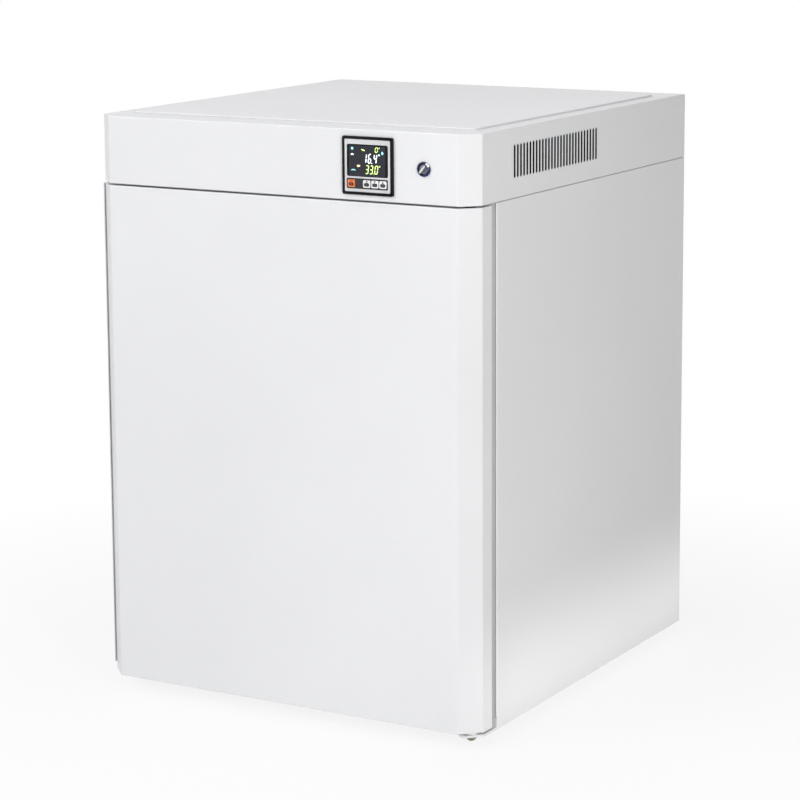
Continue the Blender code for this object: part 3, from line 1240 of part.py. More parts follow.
def controller():
    """Square panel controller: case, bezel, silver face, window and four keys."""
    centre = (CONTROLLER_X, CONTROL_Z)
    front = -FIT - CONTROLLER_PROUD
    half = CONTROLLER_SIZE / 2
    opening = half - BEZEL_WIDTH
    hole = rounded(opening, opening, 1.5, centre)
    bezel = plate(rounded(half, half, 2.5, centre), "Y", front, -FIT, [hole])
    beyond = opening + BEZEL_WIDTH / 2
    round_edges(bezel, lambda a, b: max(a.y, b.y) < front + 0.1
                and max(abs(a.x - CONTROLLER_X), abs(a.z - CONTROL_Z)) > beyond
                and max(abs(b.x - CONTROLLER_X), abs(b.z - CONTROL_Z)) > beyond, 0.6, 1)
    add("controller_bezel", bezel, "black_plastic")
    face_half = opening - FIT
    face_front = front + BEZEL_STEP
    face_back = face_front + FACE_SHEET
    window_centre = (CONTROLLER_X, CONTROL_Z + WINDOW_RISE)
    half_u, half_v = WINDOW_WIDTH / 2, WINDOW_HEIGHT / 2
    key_z = CONTROL_Z - KEY_DROP
    key_u, key_v = KEY_WIDTH / 2, KEY_HEIGHT / 2
    holes = [rounded(half_u, half_v, 2.5, window_centre)]
    for shift in KEY_PLACES.values():
        place = (CONTROLLER_X + shift, key_z)
        holes.append(rounded(key_u + FIT, key_v + FIT, 1.6, place, 2))
    face = plate(rounded(face_half, face_half, 1.2, centre), "Y", face_front, face_back, holes)
    add("controller_face", face, "silver_plastic")
    pane = rounded(half_u - FIT, half_v - FIT, 2.2, window_centre)
    add("controller_window", plate(pane, "Y", face_front - 0.2, face_back), "dark_window")
    for name, shift in KEY_PLACES.items():
        place = (CONTROLLER_X + shift, key_z)
        cap = plate(rounded(key_u, key_v, 1.4, place, 2), "Y", face_front - KEY_PROUD,
                    -FIT - KEY_TRAVEL)
        finish = "orange_plastic" if name == "key_set" else "white_plastic"
        add(name, cap, finish, (place[0], 0, place[1]))
    body_half = CONTROLLER_BODY / 2
    body = plate(rounded(body_half, body_half, 1.5, centre), "Y", 0.0, CONTROLLER_BODY_DEPTH)
    add("controller_body", body, "black_plastic")


def power_switch():
    """Chromed rotary switch: fixed bezel with its barrel and nut, turning core with a grip bar."""
    centre = (SWITCH_X, 0, CONTROL_Z)
    seat = -FIT
    front = seat - SWITCH_PROUD
    bore = SWITCH_CORE_RADIUS + FIT
    deep = SWITCH_DEPTH - SWITCH_BACK_WALL
    nut = HEADER_SHEET + FIT
    nut_end = nut + SWITCH_NUT_HEIGHT
    wide, barrel, across_nut = SWITCH_RADIUS, SWITCH_BARREL_RADIUS, SWITCH_NUT_RADIUS
    ring = [(0, deep), (bore, deep), (bore, front + 0.6), (bore + 0.5, front),
            (wide - 1.2, front), (wide, front + 1.2), (wide, seat), (barrel, seat), (barrel, nut),
            (across_nut, nut), (across_nut, nut_end), (barrel, nut_end), (barrel, SWITCH_DEPTH),
            (0, SWITCH_DEPTH)]
    add("power_switch_bezel", lathe(ring, "Y", centre, 20), "chrome", smooth=True)
    core_front = front + SWITCH_CORE_STEP
    core_back = deep - FIT
    radius = SWITCH_CORE_RADIUS
    core = [(0, core_front), (radius - 0.6, core_front), (radius, core_front + 0.6),
            (radius, core_back), (0, core_back)]
    knob = add("power_switch_knob", lathe(core, "Y", centre), "chrome", centre, True)
    tilt = math.radians(SWITCH_ANGLE)
    along = Vector((math.sin(tilt), math.cos(tilt))) * (radius - 0.5)
    across = Vector((math.cos(tilt), -math.sin(tilt))) * SWITCH_BAR_WIDTH / 2
    corners = [along * a + across * b for a, b in ((-1, -1), (1, -1), (1, 1), (-1, 1))]
    outline = [(SWITCH_X + p.x, CONTROL_Z + p.y) for p in corners]
    join(knob, plate(outline, "Y", front - SWITCH_BAR_PROUD + FIT, core_front + 1))


def finishes():
    """Colours read from the photograph, with plain values for what it does not show."""
    material("white_paint", (0.83, 0.83, 0.85), 0.35)
    material("grey_plastic", (0.52, 0.53, 0.53), 0.5)
    material("black_plastic", (0.03, 0.03, 0.035), 0.45)
    material("silver_plastic", (0.62, 0.62, 0.64), 0.35, 0.4)
    material("white_plastic", (0.8, 0.8, 0.79), 0.4)
    material("orange_plastic", (0.85, 0.25, 0.05), 0.4)
    material("red_plastic", (0.6, 0.03, 0.03), 0.4)
    material("dark_window", (0.02, 0.03, 0.06), 0.1)
    material("black_rubber", (0.03, 0.03, 0.03), 0.8)
    material("grey_rubber", (0.42, 0.43, 0.44), 0.7)
    material("white_rubber", (0.75, 0.75, 0.73), 0.6)
    material("foam", (0.8, 0.76, 0.6), 0.95)
    material("stainless", (0.6, 0.6, 0.6), 0.3, 1.0)
    material("zinc_steel", (0.55, 0.56, 0.58), 0.4, 1.0)
    material("aluminium", (0.7, 0.7, 0.71), 0.4, 1.0)
    material("chrome", (0.8, 0.8, 0.82), 0.1, 1.0)
    material("brass", (0.65, 0.5, 0.2), 0.35, 1.0)
    material("glass", (0.8, 0.9, 0.88), 0.05, alpha=0.3)


def build():
    """Clear the scene, make every piece and stand the object centred on the floor."""
    for old in list(bpy.data.objects):
        bpy.data.objects.remove(old, do_unlink=True)
    root = bpy.data.objects.new("incubator", None)
    bpy.context.scene.collection.objects.link(root)
    root.location = (-(LEFT_MOST + RIGHT_MOST) / 2 * MM, -(FRONT_MOST + BACK_MOST) / 2 * MM, 0.0)
    finishes()
    for make in (cabinet_case, back_panel, front_frame, header_housing, header_floor, top_cover,
                 header_back, header_screws, feet, chamber_liner, water_tank, insulation,
                 immersion_heater, sensors, duct_cover, fan, shelf_racks, shelves, door_skin,
                 door_insulation, door_liner, door_gasket, door_grip, hinges, inner_door, filler,
                 overflow_pipe, drain_valve, mains_inlet, heat_sink, controller, power_switch):
        make()


build()
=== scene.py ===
"""Looks of the water-jacketed incubator: finishes, display, small fasteners, light and camera.

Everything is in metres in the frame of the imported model: -Y is the front, +X the right-hand
side and +Z up. Sizes that are easier to read in millimetres are multiplied by MM.
"""
import math

import bmesh
import bpy
from mathutils import Matrix, Vector

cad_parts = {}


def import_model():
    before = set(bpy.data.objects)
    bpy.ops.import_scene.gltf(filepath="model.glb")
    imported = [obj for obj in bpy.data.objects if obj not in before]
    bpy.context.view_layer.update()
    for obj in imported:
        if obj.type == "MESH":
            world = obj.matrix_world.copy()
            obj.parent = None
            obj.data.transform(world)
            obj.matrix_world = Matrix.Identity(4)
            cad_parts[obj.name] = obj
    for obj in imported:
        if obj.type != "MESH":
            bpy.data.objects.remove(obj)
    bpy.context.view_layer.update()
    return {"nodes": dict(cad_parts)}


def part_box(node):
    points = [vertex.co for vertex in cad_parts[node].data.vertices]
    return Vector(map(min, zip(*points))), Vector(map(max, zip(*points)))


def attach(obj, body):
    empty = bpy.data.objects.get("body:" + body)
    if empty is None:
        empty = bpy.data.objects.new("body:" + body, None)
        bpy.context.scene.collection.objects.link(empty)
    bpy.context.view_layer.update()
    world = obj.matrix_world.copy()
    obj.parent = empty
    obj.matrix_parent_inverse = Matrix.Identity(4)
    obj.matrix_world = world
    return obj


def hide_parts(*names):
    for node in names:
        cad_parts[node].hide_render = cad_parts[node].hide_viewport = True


MM = 0.001
SHARP_ANGLE = math.radians(32)  # edges that turn by more than this stay crisp

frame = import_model()
scene = bpy.context.scene

# Camera, solved from the cabinet's corners in the photograph
CAMERA_AZIMUTH = 30.07
CAMERA_ELEVATION = 9.45
CAMERA_ROLL = -0.35
CAMERA_PLACE = (1.8118, -3.1494, 1.1046)
CAMERA_LENS = 121.5
CAMERA_SHIFT = -0.125


# Node trees

def node(tree, kind, *links, **settings):
    """Add a node; links are (socket name or number, value or output) pairs."""
    made = tree.nodes.new(kind)
    for key, value in settings.items():
        setattr(made, key, value)
    for socket, value in links:
        if isinstance(value, bpy.types.NodeSocket):
            tree.links.new(value, made.inputs[socket])
        else:
            made.inputs[socket].default_value = value
    return made


def calc(tree, operation, first, second=0.0):
    """A math node's result."""
    return node(tree, "ShaderNodeMath", (0, first), (1, second), operation=operation).outputs[0]


def spread(tree, value, low, high, to_low=0.0, to_high=1.0):
    """Stretch a value from one range to another, clamped."""
    made = node(tree, "ShaderNodeMapRange", ("Value", value), ("From Min", low),
                ("From Max", high), ("To Min", to_low), ("To Max", to_high))
    return made.outputs["Result"]


def blend_colour(tree, factor, first, second):
    """Mix two colours, each a value or an output."""
    made = node(tree, "ShaderNodeMix", ("Factor", factor), data_type="RGBA")
    for socket, value in ((made.inputs[6], first), (made.inputs[7], second)):
        if isinstance(value, bpy.types.NodeSocket):
            tree.links.new(value, socket)
        else:
            socket.default_value = (*value[:3], 1.0)
    return made.outputs[2]


def place(tree, scale=(1.0, 1.0, 1.0)):
    """Object coordinates, stretched along each axis."""
    coords = node(tree, "ShaderNodeTexCoord").outputs["Object"]
    return node(tree, "ShaderNodeMapping", ("Vector", coords), ("Scale", scale)).outputs[0]


def noise(tree, vector, scale, detail=3.0, rough=0.5):
    """Noise from 0 to 1."""
    made = node(tree, "ShaderNodeTexNoise", ("Vector", vector), ("Scale", scale),
                ("Detail", detail), ("Roughness", rough))
    return made.outputs["Fac"]


def cells(tree, vector, scale):
    """Distance to the middle of the nearest of many small cells."""
    made = node(tree, "ShaderNodeTexVoronoi", ("Vector", vector), ("Scale", scale))
    return made.outputs["Distance"]


def shades(colour, darker, lighter, lift=0.0):
    """A darker and a lighter shade of a colour, the lighter one lifted too."""
    return (tuple(c * darker for c in colour),
            tuple(min(c * lighter + lift, 1.0) for c in colour))


def facing_up(tree):
    """Height of the surface's normal: 1 looks up, -1 looks down."""
    normal = node(tree, "ShaderNodeNewGeometry").outputs["Normal"]
    return node(tree, "ShaderNodeSeparateXYZ", (0, normal)).outputs["Z"]


def bump(tree, height, distance, strength=1.0, normal=None):
    """Bump from a height; distance is in metres."""
    links = [("Height", height), ("Distance", distance), ("Strength", strength)]
    if normal is not None:
        links.append(("Normal", normal))
    return node(tree, "ShaderNodeBump", *links).outputs["Normal"]


def edge_mask(tree, radius):
    """Normals rounded over near edges, and a mask that is 1 on them."""
    soft = node(tree, "ShaderNodeBevel", ("Radius", radius), samples=4).outputs["Normal"]
    true = node(tree, "ShaderNodeNewGeometry").outputs["Normal"]
    dot = node(tree, "ShaderNodeVectorMath", (0, soft), (1, true), operation="DOT_PRODUCT")
    return soft, spread(tree, dot.outputs["Value"], 0.995, 0.8)


def start(name):
    """A new material, its tree and its Principled shader."""
    made = bpy.data.materials.new(name)
    made.use_nodes = True
    tree = made.node_tree
    return made, tree, tree.nodes["Principled BSDF"]


def wire(tree, shader, colour=None, roughness=None, normal=None):
    """Link the usual sockets of a shader."""
    for socket, value in (("Base Color", colour), ("Roughness", roughness), ("Normal", normal)):
        if value is not None:
            tree.links.new(value, shader.inputs[socket])


# Materials

def powder_coat(name, colour, gloss=0.34):
    """Baked paint on sheet metal: fine orange peel, faint mottling and thin paint on edges."""
    made, tree, shader = start(name)
    where = place(tree)
    cloud = noise(tree, where, 3.0, 2.0)
    fine = noise(tree, where, 90.0, 4.0, 0.6)
    peel = noise(tree, where, 420.0, 2.0, 0.55)
    grain = noise(tree, where, 1500.0, 1.0)
    base = blend_colour(tree, spread(tree, cloud, 0.35, 0.65), *shades(colour, 0.985, 1.012))
    base = blend_colour(tree, spread(tree, fine, 0.55, 0.75, 0.0, 0.05), base,
                        (colour[0] * 0.9, colour[1] * 0.9, colour[2] * 0.88))
    soft, edges = edge_mask(tree, 0.5 * MM)
    worn = calc(tree, "MULTIPLY", edges, spread(tree, fine, 0.42, 0.62))
    base = blend_colour(tree, calc(tree, "MULTIPLY", worn, 0.3), base, (0.92, 0.92, 0.93))
    rough = calc(tree, "ADD", spread(tree, fine, 0.3, 0.7, gloss - 0.03, gloss + 0.05),
                 calc(tree, "MULTIPLY", worn, -0.06))
    height = calc(tree, "ADD", peel, calc(tree, "MULTIPLY", grain, 0.35))
    wire(tree, shader, base, rough, bump(tree, height, 0.03 * MM, 0.5, soft))
    shader.inputs["Specular IOR Level"].default_value = 0.5
    shader.inputs["Coat Weight"].default_value = 0.12
    shader.inputs["Coat Roughness"].default_value = 0.12
    return made


def moulded_plastic(name, colour, roughness=0.45, grain=0.05 * MM, shine=0.5, edge=0.3 * MM):
    """Injection-moulded plastic with an eroded grain, rubbed shiny at the edges."""
    made, tree, shader = start(name)
    where = place(tree)
    pits = cells(tree, where, 1600.0)
    cloud = noise(tree, where, 25.0, 3.0)
    soft, edges = edge_mask(tree, edge)
    base = blend_colour(tree, spread(tree, cloud, 0.3, 0.7),
                        *shades(colour, 1.0, 1.15, 0.01))
    rubbed = shades(colour, 1.0, 1.4, 0.03)[1]
    base = blend_colour(tree, calc(tree, "MULTIPLY", edges, 0.25), base, rubbed)
    rough = calc(tree, "ADD", spread(tree, cloud, 0.3, 0.7, roughness - 0.05, roughness + 0.07),
                 calc(tree, "MULTIPLY", edges, -0.12))
    wire(tree, shader, base, rough, bump(tree, pits, grain, 0.45, soft))
    shader.inputs["Specular IOR Level"].default_value = shine
    return made


def brushed_steel(name, colour, stretch, roughness=0.28, dull=(0.5, 0.5, 0.5)):
    """Brushed sheet: long scratches, drifting tone and a few finger smudges."""
    made, tree, shader = start(name)
    lines = noise(tree, place(tree, stretch), 60.0, 5.0, 0.65)
    streaks = noise(tree, place(tree, stretch), 8.0, 3.0, 0.6)
    cloud = noise(tree, place(tree), 6.0, 3.0)
    base = blend_colour(tree, spread(tree, lines, 0.3, 0.7), *shades(colour, 0.86, 1.1))
    base = blend_colour(tree, spread(tree, streaks, 0.55, 0.8, 0.0, 0.3), base, dull)
    rough = calc(tree, "ADD", spread(tree, lines, 0.3, 0.7, roughness - 0.06, roughness + 0.1),
                 spread(tree, cloud, 0.5, 0.75, 0.0, 0.12))
    soft, _ = edge_mask(tree, 0.3 * MM)
    wire(tree, shader, base, rough, bump(tree, lines, 0.02 * MM, 0.5, soft))
    shader.inputs["Metallic"].default_value = 1.0
    shader.inputs["Anisotropic"].default_value = 0.4
    return made


def zinc_plate(name, colour=(0.52, 0.53, 0.55), bloom=(0.6, 0.6, 0.58)):
    """Zinc-plated steel with faint spangle, handling marks and whitish bloom."""
    made, tree, shader = start(name)
    where = place(tree)
    spangle = node(tree, "ShaderNodeTexVoronoi", ("Vector", where), ("Scale", 110.0))
    flake = node(tree, "ShaderNodeRGBToBW", (0, spangle.outputs["Color"])).outputs[0]
    cloud = noise(tree, where, 40.0, 4.0, 0.6)
    base = blend_colour(tree, flake, *shades(colour, 0.88, 1.1))
    base = blend_colour(tree, spread(tree, cloud, 0.55, 0.8, 0.0, 0.35), base, bloom)
    rough = calc(tree, "ADD", spread(tree, flake, 0.0, 1.0, 0.3, 0.42),
                 spread(tree, cloud, 0.5, 0.8, 0.0, 0.15))
    soft, _ = edge_mask(tree, 0.25 * MM)
    wire(tree, shader, base, rough, bump(tree, cloud, 0.05 * MM, 0.3, soft))
    shader.inputs["Metallic"].default_value = 1.0
    return made


def plated(name, dark, light, roughness=0.1, tarnish=(0.3, 0.25, 0.2), amount=0.1, reflection_below=None):
    """Polished or plated metal with smudges, hairlines and a little tarnish.

    Where a colour is given for the faces that look down, they take it as a painted reflection.
    """
    made, tree, shader = start(name)
    where = place(tree)
    cloud = noise(tree, where, 160.0, 3.0)
    hair = noise(tree, place(tree, (1.0, 1.0, 9.0)), 900.0, 2.0)
    base = blend_colour(tree, spread(tree, cloud, 0.35, 0.65), dark, light)
    if reflection_below:
        base = blend_colour(tree, spread(tree, facing_up(tree), 0.15, -0.45), base, reflection_below)
    base = blend_colour(tree, spread(tree, cloud, 0.6, 0.85, 0.0, amount), base, tarnish)
    rough = calc(tree, "ADD", spread(tree, cloud, 0.4, 0.7, roughness, roughness + 0.1),
                 spread(tree, hair, 0.6, 0.8, 0.0, 0.06))
    soft, _ = edge_mask(tree, 0.2 * MM)
    wire(tree, shader, base, rough, bump(tree, hair, 0.01 * MM, 0.3, soft))
    shader.inputs["Metallic"].default_value = 1.0
    return made


def rubber(name, colour, dust=(0.45, 0.44, 0.42), roughness=0.75):
    """Rubber or silicone: matt, a little blotchy, with dust on what faces up."""
    made, tree, shader = start(name)
    where = place(tree)
    cloud = noise(tree, where, 35.0, 4.0, 0.6)
    skin = noise(tree, where, 700.0, 2.0)
    settled = calc(tree, "MULTIPLY", spread(tree, facing_up(tree), 0.3, 1.0, 0.0, 0.35),
                   spread(tree, cloud, 0.35, 0.65))
    base = blend_colour(tree, spread(tree, cloud, 0.3, 0.7),
                        *shades(colour, 0.88, 1.12, 0.004))
    base = blend_colour(tree, settled, base, dust)
    rough = spread(tree, cloud, 0.3, 0.7, roughness - 0.08, roughness + 0.08)
    soft, _ = edge_mask(tree, 0.3 * MM)
    wire(tree, shader, base, rough, bump(tree, skin, 0.04 * MM, 0.5, soft))
    shader.inputs["Specular IOR Level"].default_value = 0.3
    return made


def foam(name, colour=(0.80, 0.75, 0.56)):
    """Cut rigid foam: open cells and a yellowed skin."""
    made, tree, shader = start(name)
    where = place(tree)
    pores = cells(tree, where, 380.0)
    cloud = noise(tree, where, 12.0, 4.0, 0.6)
    base = blend_colour(tree, spread(tree, cloud, 0.3, 0.7), colour,
                        (colour[0] * 0.9, colour[1] * 0.84, colour[2] * 0.72))
    base = blend_colour(tree, spread(tree, pores, 0.0, 0.35, 0.35, 0.0), base,
                        tuple(c * 0.6 for c in colour))
    rough = spread(tree, cloud, 0.3, 0.7, 0.88, 0.98)
    wire(tree, shader, base, rough, bump(tree, pores, 0.5 * MM, 0.7))
    return made


def clear_glass(name):
    """Toughened pane: clear, faintly green, with wiped smears."""
    made, tree, shader = start(name)
    smear = noise(tree, place(tree, (1.0, 1.0, 3.0)), 9.0, 4.0, 0.7)
    rough = spread(tree, smear, 0.5, 0.8, 0.0, 0.09)
    tint = blend_colour(tree, spread(tree, smear, 0.3, 0.7), (0.93, 0.985, 0.965),
                        (0.97, 0.995, 0.985))
    wire(tree, shader, tint, rough)
    shader.inputs["Transmission Weight"].default_value = 1.0
    shader.inputs["IOR"].default_value = 1.5
    return made


def display_glass(name):
    """Smoked acrylic over a liquid crystal display, a touch violet and very lightly scratched."""
    made, tree, shader = start(name)
    where = place(tree)
    cloud = noise(tree, where, 60.0, 3.0)
    scratch = noise(tree, place(tree, (8.0, 1.0, 1.0)), 300.0, 2.0)
    base = blend_colour(tree, spread(tree, cloud, 0.3, 0.7), (0.006, 0.006, 0.008),
                        (0.014, 0.013, 0.018))
    rough = calc(tree, "ADD", spread(tree, cloud, 0.4, 0.7, 0.08, 0.14),
                 spread(tree, scratch, 0.65, 0.85, 0.0, 0.08))
    wire(tree, shader, base, rough)
    shader.inputs["Specular IOR Level"].default_value = 0.14
    return made


def crystal_pane(name):
    """The display's own lit area: dark grey-violet with a faint cell structure."""
    made, tree, shader = start(name)
    where = place(tree)
    cloud = noise(tree, where, 70.0, 3.0)
    dots = cells(tree, where, 1400.0)
    base = blend_colour(tree, spread(tree, cloud, 0.3, 0.7), (0.026, 0.028, 0.036),
                        (0.038, 0.040, 0.050))
    base = blend_colour(tree, spread(tree, dots, 0.1, 0.5, 0.35, 0.0), base, (0.02, 0.02, 0.03))
    rough = spread(tree, cloud, 0.3, 0.7, 0.12, 0.2)
    wire(tree, shader, base, rough, bump(tree, dots, 0.005 * MM, 0.3))
    shader.inputs["Specular IOR Level"].default_value = 0.2
    return made


def lit(name, colour, strength=1.0):
    """Light from a display segment, a little uneven along its length."""
    made, tree, shader = start(name)
    uneven = noise(tree, place(tree), 420.0, 2.0)
    glow = blend_colour(tree, spread(tree, uneven, 0.3, 0.7), *shades(colour, 0.86, 1.0))
    wire(tree, shader, glow, spread(tree, uneven, 0.3, 0.7, 0.35, 0.5))
    tree.links.new(glow, shader.inputs["Emission Color"])
    shader.inputs["Emission Strength"].default_value = strength
    return made


def ink(name, colour):
    """Screen-printed ink: slightly raised, satin, with an uneven lay."""
    made, tree, shader = start(name)
    lay = noise(tree, place(tree), 500.0, 3.0, 0.6)
    base = blend_colour(tree, spread(tree, lay, 0.3, 0.7), *shades(colour, 1.0, 1.2, 0.006))
    wire(tree, shader, base, spread(tree, lay, 0.3, 0.7, 0.38, 0.52),
         bump(tree, lay, 0.01 * MM, 0.4))
    return made


def shade_gauze(name):
    """Fine black gauze behind the vents: a dark sheet that paints the shade inside the header."""
    made, tree, shader = start(name)
    where = place(tree)
    split = node(tree, "ShaderNodeSeparateXYZ", (0, where))
    weave = 0.0
    for axis in ("Y", "Z"):
        wave = calc(tree, "SINE", calc(tree, "MULTIPLY", split.outputs[axis], 5200.0))
        weave = calc(tree, "ADD", calc(tree, "ABSOLUTE", wave), weave)
    dust = noise(tree, where, 120.0, 4.0, 0.6)
    base = blend_colour(tree, spread(tree, weave, 0.4, 1.6), (0.002, 0.002, 0.002),
                        (0.012, 0.012, 0.012))
    base = blend_colour(tree, spread(tree, dust, 0.6, 0.85, 0.0, 0.2), base, (0.05, 0.05, 0.048))
    wire(tree, shader, base, spread(tree, dust, 0.3, 0.7, 0.85, 0.95),
         bump(tree, weave, 0.2 * MM, 0.6))
    shader.inputs["Specular IOR Level"].default_value = 0.05
    return made


WHITE = powder_coat("white powder coat", (0.83, 0.83, 0.835))
GREY = moulded_plastic("grey plastic", (0.52, 0.53, 0.53), 0.5)
GREY_TRIM = moulded_plastic("pale grey trim", (0.64, 0.65, 0.65), 0.45)
BLACK = moulded_plastic("black plastic", (0.0025, 0.0025, 0.003), 0.42, shine=0.08)
SILVER = moulded_plastic("silver lacquered plastic", (0.60, 0.60, 0.61), 0.36, 0.02 * MM)
SILVER.node_tree.nodes["Principled BSDF"].inputs["Metallic"].default_value = 0.35
ORANGE = moulded_plastic("orange key", (0.80, 0.20, 0.045), 0.38, 0.02 * MM)
KEY_WHITE = moulded_plastic("white plastic", (0.80, 0.80, 0.79), 0.38, 0.02 * MM)
RED = moulded_plastic("red lever sleeve", (0.55, 0.025, 0.02), 0.4, 0.02 * MM)
PAD = rubber("black rubber pad", (0.022, 0.022, 0.023))
SEAL = rubber("grey gasket", (0.36, 0.37, 0.38), (0.55, 0.55, 0.53), 0.62)
SILICONE = rubber("white silicone", (0.72, 0.72, 0.70), (0.78, 0.77, 0.74), 0.5)
FOAM = foam("rigid foam")
STEEL = brushed_steel("stainless, brushed across", (0.60, 0.60, 0.59), (1.0, 22.0, 22.0))
STEEL_UP = brushed_steel("stainless, brushed upright", (0.60, 0.60, 0.59), (22.0, 22.0, 1.0))
STEEL_DEEP = brushed_steel("stainless, brushed front to back", (0.60, 0.60, 0.59),
                           (22.0, 1.0, 22.0), 0.26)
ALUMINIUM = brushed_steel("anodised aluminium", (0.70, 0.70, 0.70), (14.0, 14.0, 1.0), 0.34,
                          (0.6, 0.6, 0.6))
ZINC = zinc_plate("zinc plate")
OLIVE_ZINC = zinc_plate("passivated zinc plate", (0.20, 0.20, 0.13), (0.34, 0.32, 0.22))
# Switch bezel chrome: its navy base and the blue on faces that look down are painted reflections
# of a dark room.
CHROME_PAINTED_DARK_REFLECTION = plated("chrome with painted dark reflection", (0.012, 0.014, 0.03), (0.05, 0.055, 0.09), 0.09,
                reflection_below=(0.03, 0.04, 0.20))
# Switch core chrome: its grey base is a painted reflection, darker than bare chrome.
CHROME_PAINTED_GREY_REFLECTION = plated("chrome with painted grey reflection", (0.10, 0.105, 0.12), (0.22, 0.23, 0.25), 0.16)
BRIGHT = plated("bright chrome", (0.62, 0.63, 0.66), (0.80, 0.81, 0.84), 0.08)
BRASS = plated("nickelled brass", (0.50, 0.42, 0.26), (0.66, 0.56, 0.36), 0.24,
               (0.20, 0.16, 0.09), 0.5)
GLASS = clear_glass("door glass")
WINDOW = display_glass("display window")
CRYSTAL = crystal_pane("display area")
WHITE_LIT = lit("white segments", (0.86, 0.93, 1.0), 1.0)
GREEN_LIT = lit("yellow-green segments", (0.72, 0.95, 0.30), 1.0)
CYAN_LIT = lit("cyan marks", (0.30, 0.82, 0.84), 0.9)
AMBER_LIT = lit("amber marks", (1.0, 0.78, 0.42), 0.9)
BLACK_INK = ink("black ink", (0.008, 0.008, 0.009))
DARK_INK = ink("dark red ink", (0.10, 0.008, 0.004))
PALE_INK = ink("pale ink", (0.18, 0.18, 0.18))
# White wedge for the switch bezel: a painted highlight, drawn with the ink shader.
PAINTED_HIGHLIGHT = ink("painted highlight on the switch", (0.80, 0.80, 0.80))
# Black gauze for the vent slots: painted shade for the dark inside of the header.
SHADE_GAUZE = shade_gauze("black sheet, painted vent shade")

FINISHES = {
    "cabinet_case": WHITE, "back_panel": WHITE, "header_housing": WHITE, "top_cover": WHITE,
    "header_back": WHITE, "door_skin": WHITE, "front_frame": GREY, "level_sensor": GREY,
    "door_grip": GREY_TRIM, "fan_impeller": BLACK, "hinge_bush_upper": BLACK,
    "hinge_bush_lower": KEY_WHITE, "inner_door_knob": BLACK, "filler_cap": BLACK,
    "mains_inlet": BLACK, "controller_bezel": BLACK, "controller_body": BLACK,
    "key_shift": KEY_WHITE, "key_down": KEY_WHITE, "key_up": KEY_WHITE, "key_set": ORANGE,
    "controller_face": SILVER, "drain_lever": RED, "controller_window": WINDOW,
    "foot_front_left": PAD, "foot_front_right": PAD, "foot_rear_left": PAD,
    "foot_rear_right": PAD, "door_gasket": SEAL, "inner_door_gasket": SILICONE,
    "insulation_wrap": FOAM, "insulation_back": FOAM, "door_insulation": FOAM,
    "chamber_liner": STEEL_DEEP, "water_tank": STEEL_DEEP, "immersion_heater": STEEL_DEEP,
    "temperature_probe": STEEL_UP, "duct_cover": STEEL_UP, "shelf_rack_left": STEEL_UP,
    "shelf_rack_right": STEEL_UP, "shelf_lower": STEEL, "shelf_upper": STEEL,
    "door_liner": STEEL_UP, "inner_hinge_upper": STEEL_UP, "inner_hinge_lower": STEEL_UP,
    "filler_neck": STEEL_DEEP, "overflow_pipe": STEEL_DEEP, "header_floor": ZINC,
    "header_screw_left": ZINC, "header_screw_right": ZINC, "fan_motor": ZINC,
    "hinge_pin_upper": ZINC, "hinge_pin_lower": OLIVE_ZINC, "hinge_bracket_lower": WHITE,
    "inner_door_frame": ALUMINIUM, "heat_sink": ALUMINIUM, "power_switch_bezel": CHROME_PAINTED_DARK_REFLECTION,
    "power_switch_knob": CHROME_PAINTED_DARK_REFLECTION, "drain_valve": BRASS, "inner_door_glass": GLASS,
}


def soften(mesh):
    """Smooth shading with crisp edges."""
    mesh.shade_smooth()
    mesh.set_sharp_from_angle(angle=SHARP_ANGLE)


for name, finish in FINISHES.items():
    solid = frame["nodes"][name]
    solid.data.materials.clear()
    solid.data.materials.append(finish)
    soften(solid.data)


# Mesh helpers

def middle(name):
    """Middle of a CAD node's box."""
    low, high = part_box(name)
    return (low + high) / 2


def piece(name, bm, finish, body="cabinet", smooth=True):
    """Link a mesh as a named piece that rides on a body."""
    bmesh.ops.recalc_face_normals(bm, faces=bm.faces[:])
    mesh = bpy.data.meshes.new(name)
    bm.to_mesh(mesh)
    bm.free()
    mesh.materials.append(finish)
    if smooth:
        soften(mesh)
    made = bpy.data.objects.new(name, mesh)
    scene.collection.objects.link(made)
    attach(made, body)
    return made


def band(bm, rows, closed=True):
    """Join neighbouring rows of vertices with faces; a closed row runs round in a ring."""
    count = len(rows[0])
    for first, second in zip(rows, rows[1:]):
        for i in range(count if closed else count - 1):
            j = (i + 1) % count
            bm.faces.new((first[i], first[j], second[j], second[i]))


def prism(bm, near, far):
    """Add a closed solid between two outlines of (x, y, z) points of the same count."""
    near, far = ([bm.verts.new(point) for point in outline] for outline in (near, far))
    bm.faces.new(near)
    bm.faces.new(reversed(far))
    band(bm, (far, near))


def slab(bm, outline, y, depth):
    """Add an outline of (x, z) points as a flat slab from y back by depth."""
    prism(bm, [(x, y, z) for x, z in outline], [(x, y + depth, z) for x, z in outline])


def upright(bm, outline, x, depth):
    """Add an outline of (y, z) points as a slab from x on by depth."""
    prism(bm, [(x, y, z) for y, z in outline], [(x + depth, y, z) for y, z in outline])


def ring_slab(bm, outer, inner, y, depth):
    """Add a flat ring between two outlines of the same count."""
    rows = []
    for outline, at in ((outer, y), (inner, y), (inner, y + depth), (outer, y + depth)):
        rows.append([bm.verts.new((x, at, z)) for x, z in outline])
    band(bm, rows + rows[:1])


def rounded(centre, half_x, half_z, radius, steps=6):
    """Outline of a rectangle with round corners."""
    points = []
    for sign_x, sign_z, begin in ((1, -1, -90), (1, 1, 0), (-1, 1, 90), (-1, -1, 180)):
        for step in range(steps + 1):
            angle = math.radians(begin + 90 * step / steps)
            points.append((centre[0] + sign_x * (half_x - radius) + radius * math.cos(angle),
                           centre[1] + sign_z * (half_z - radius) + radius * math.sin(angle)))
    return points


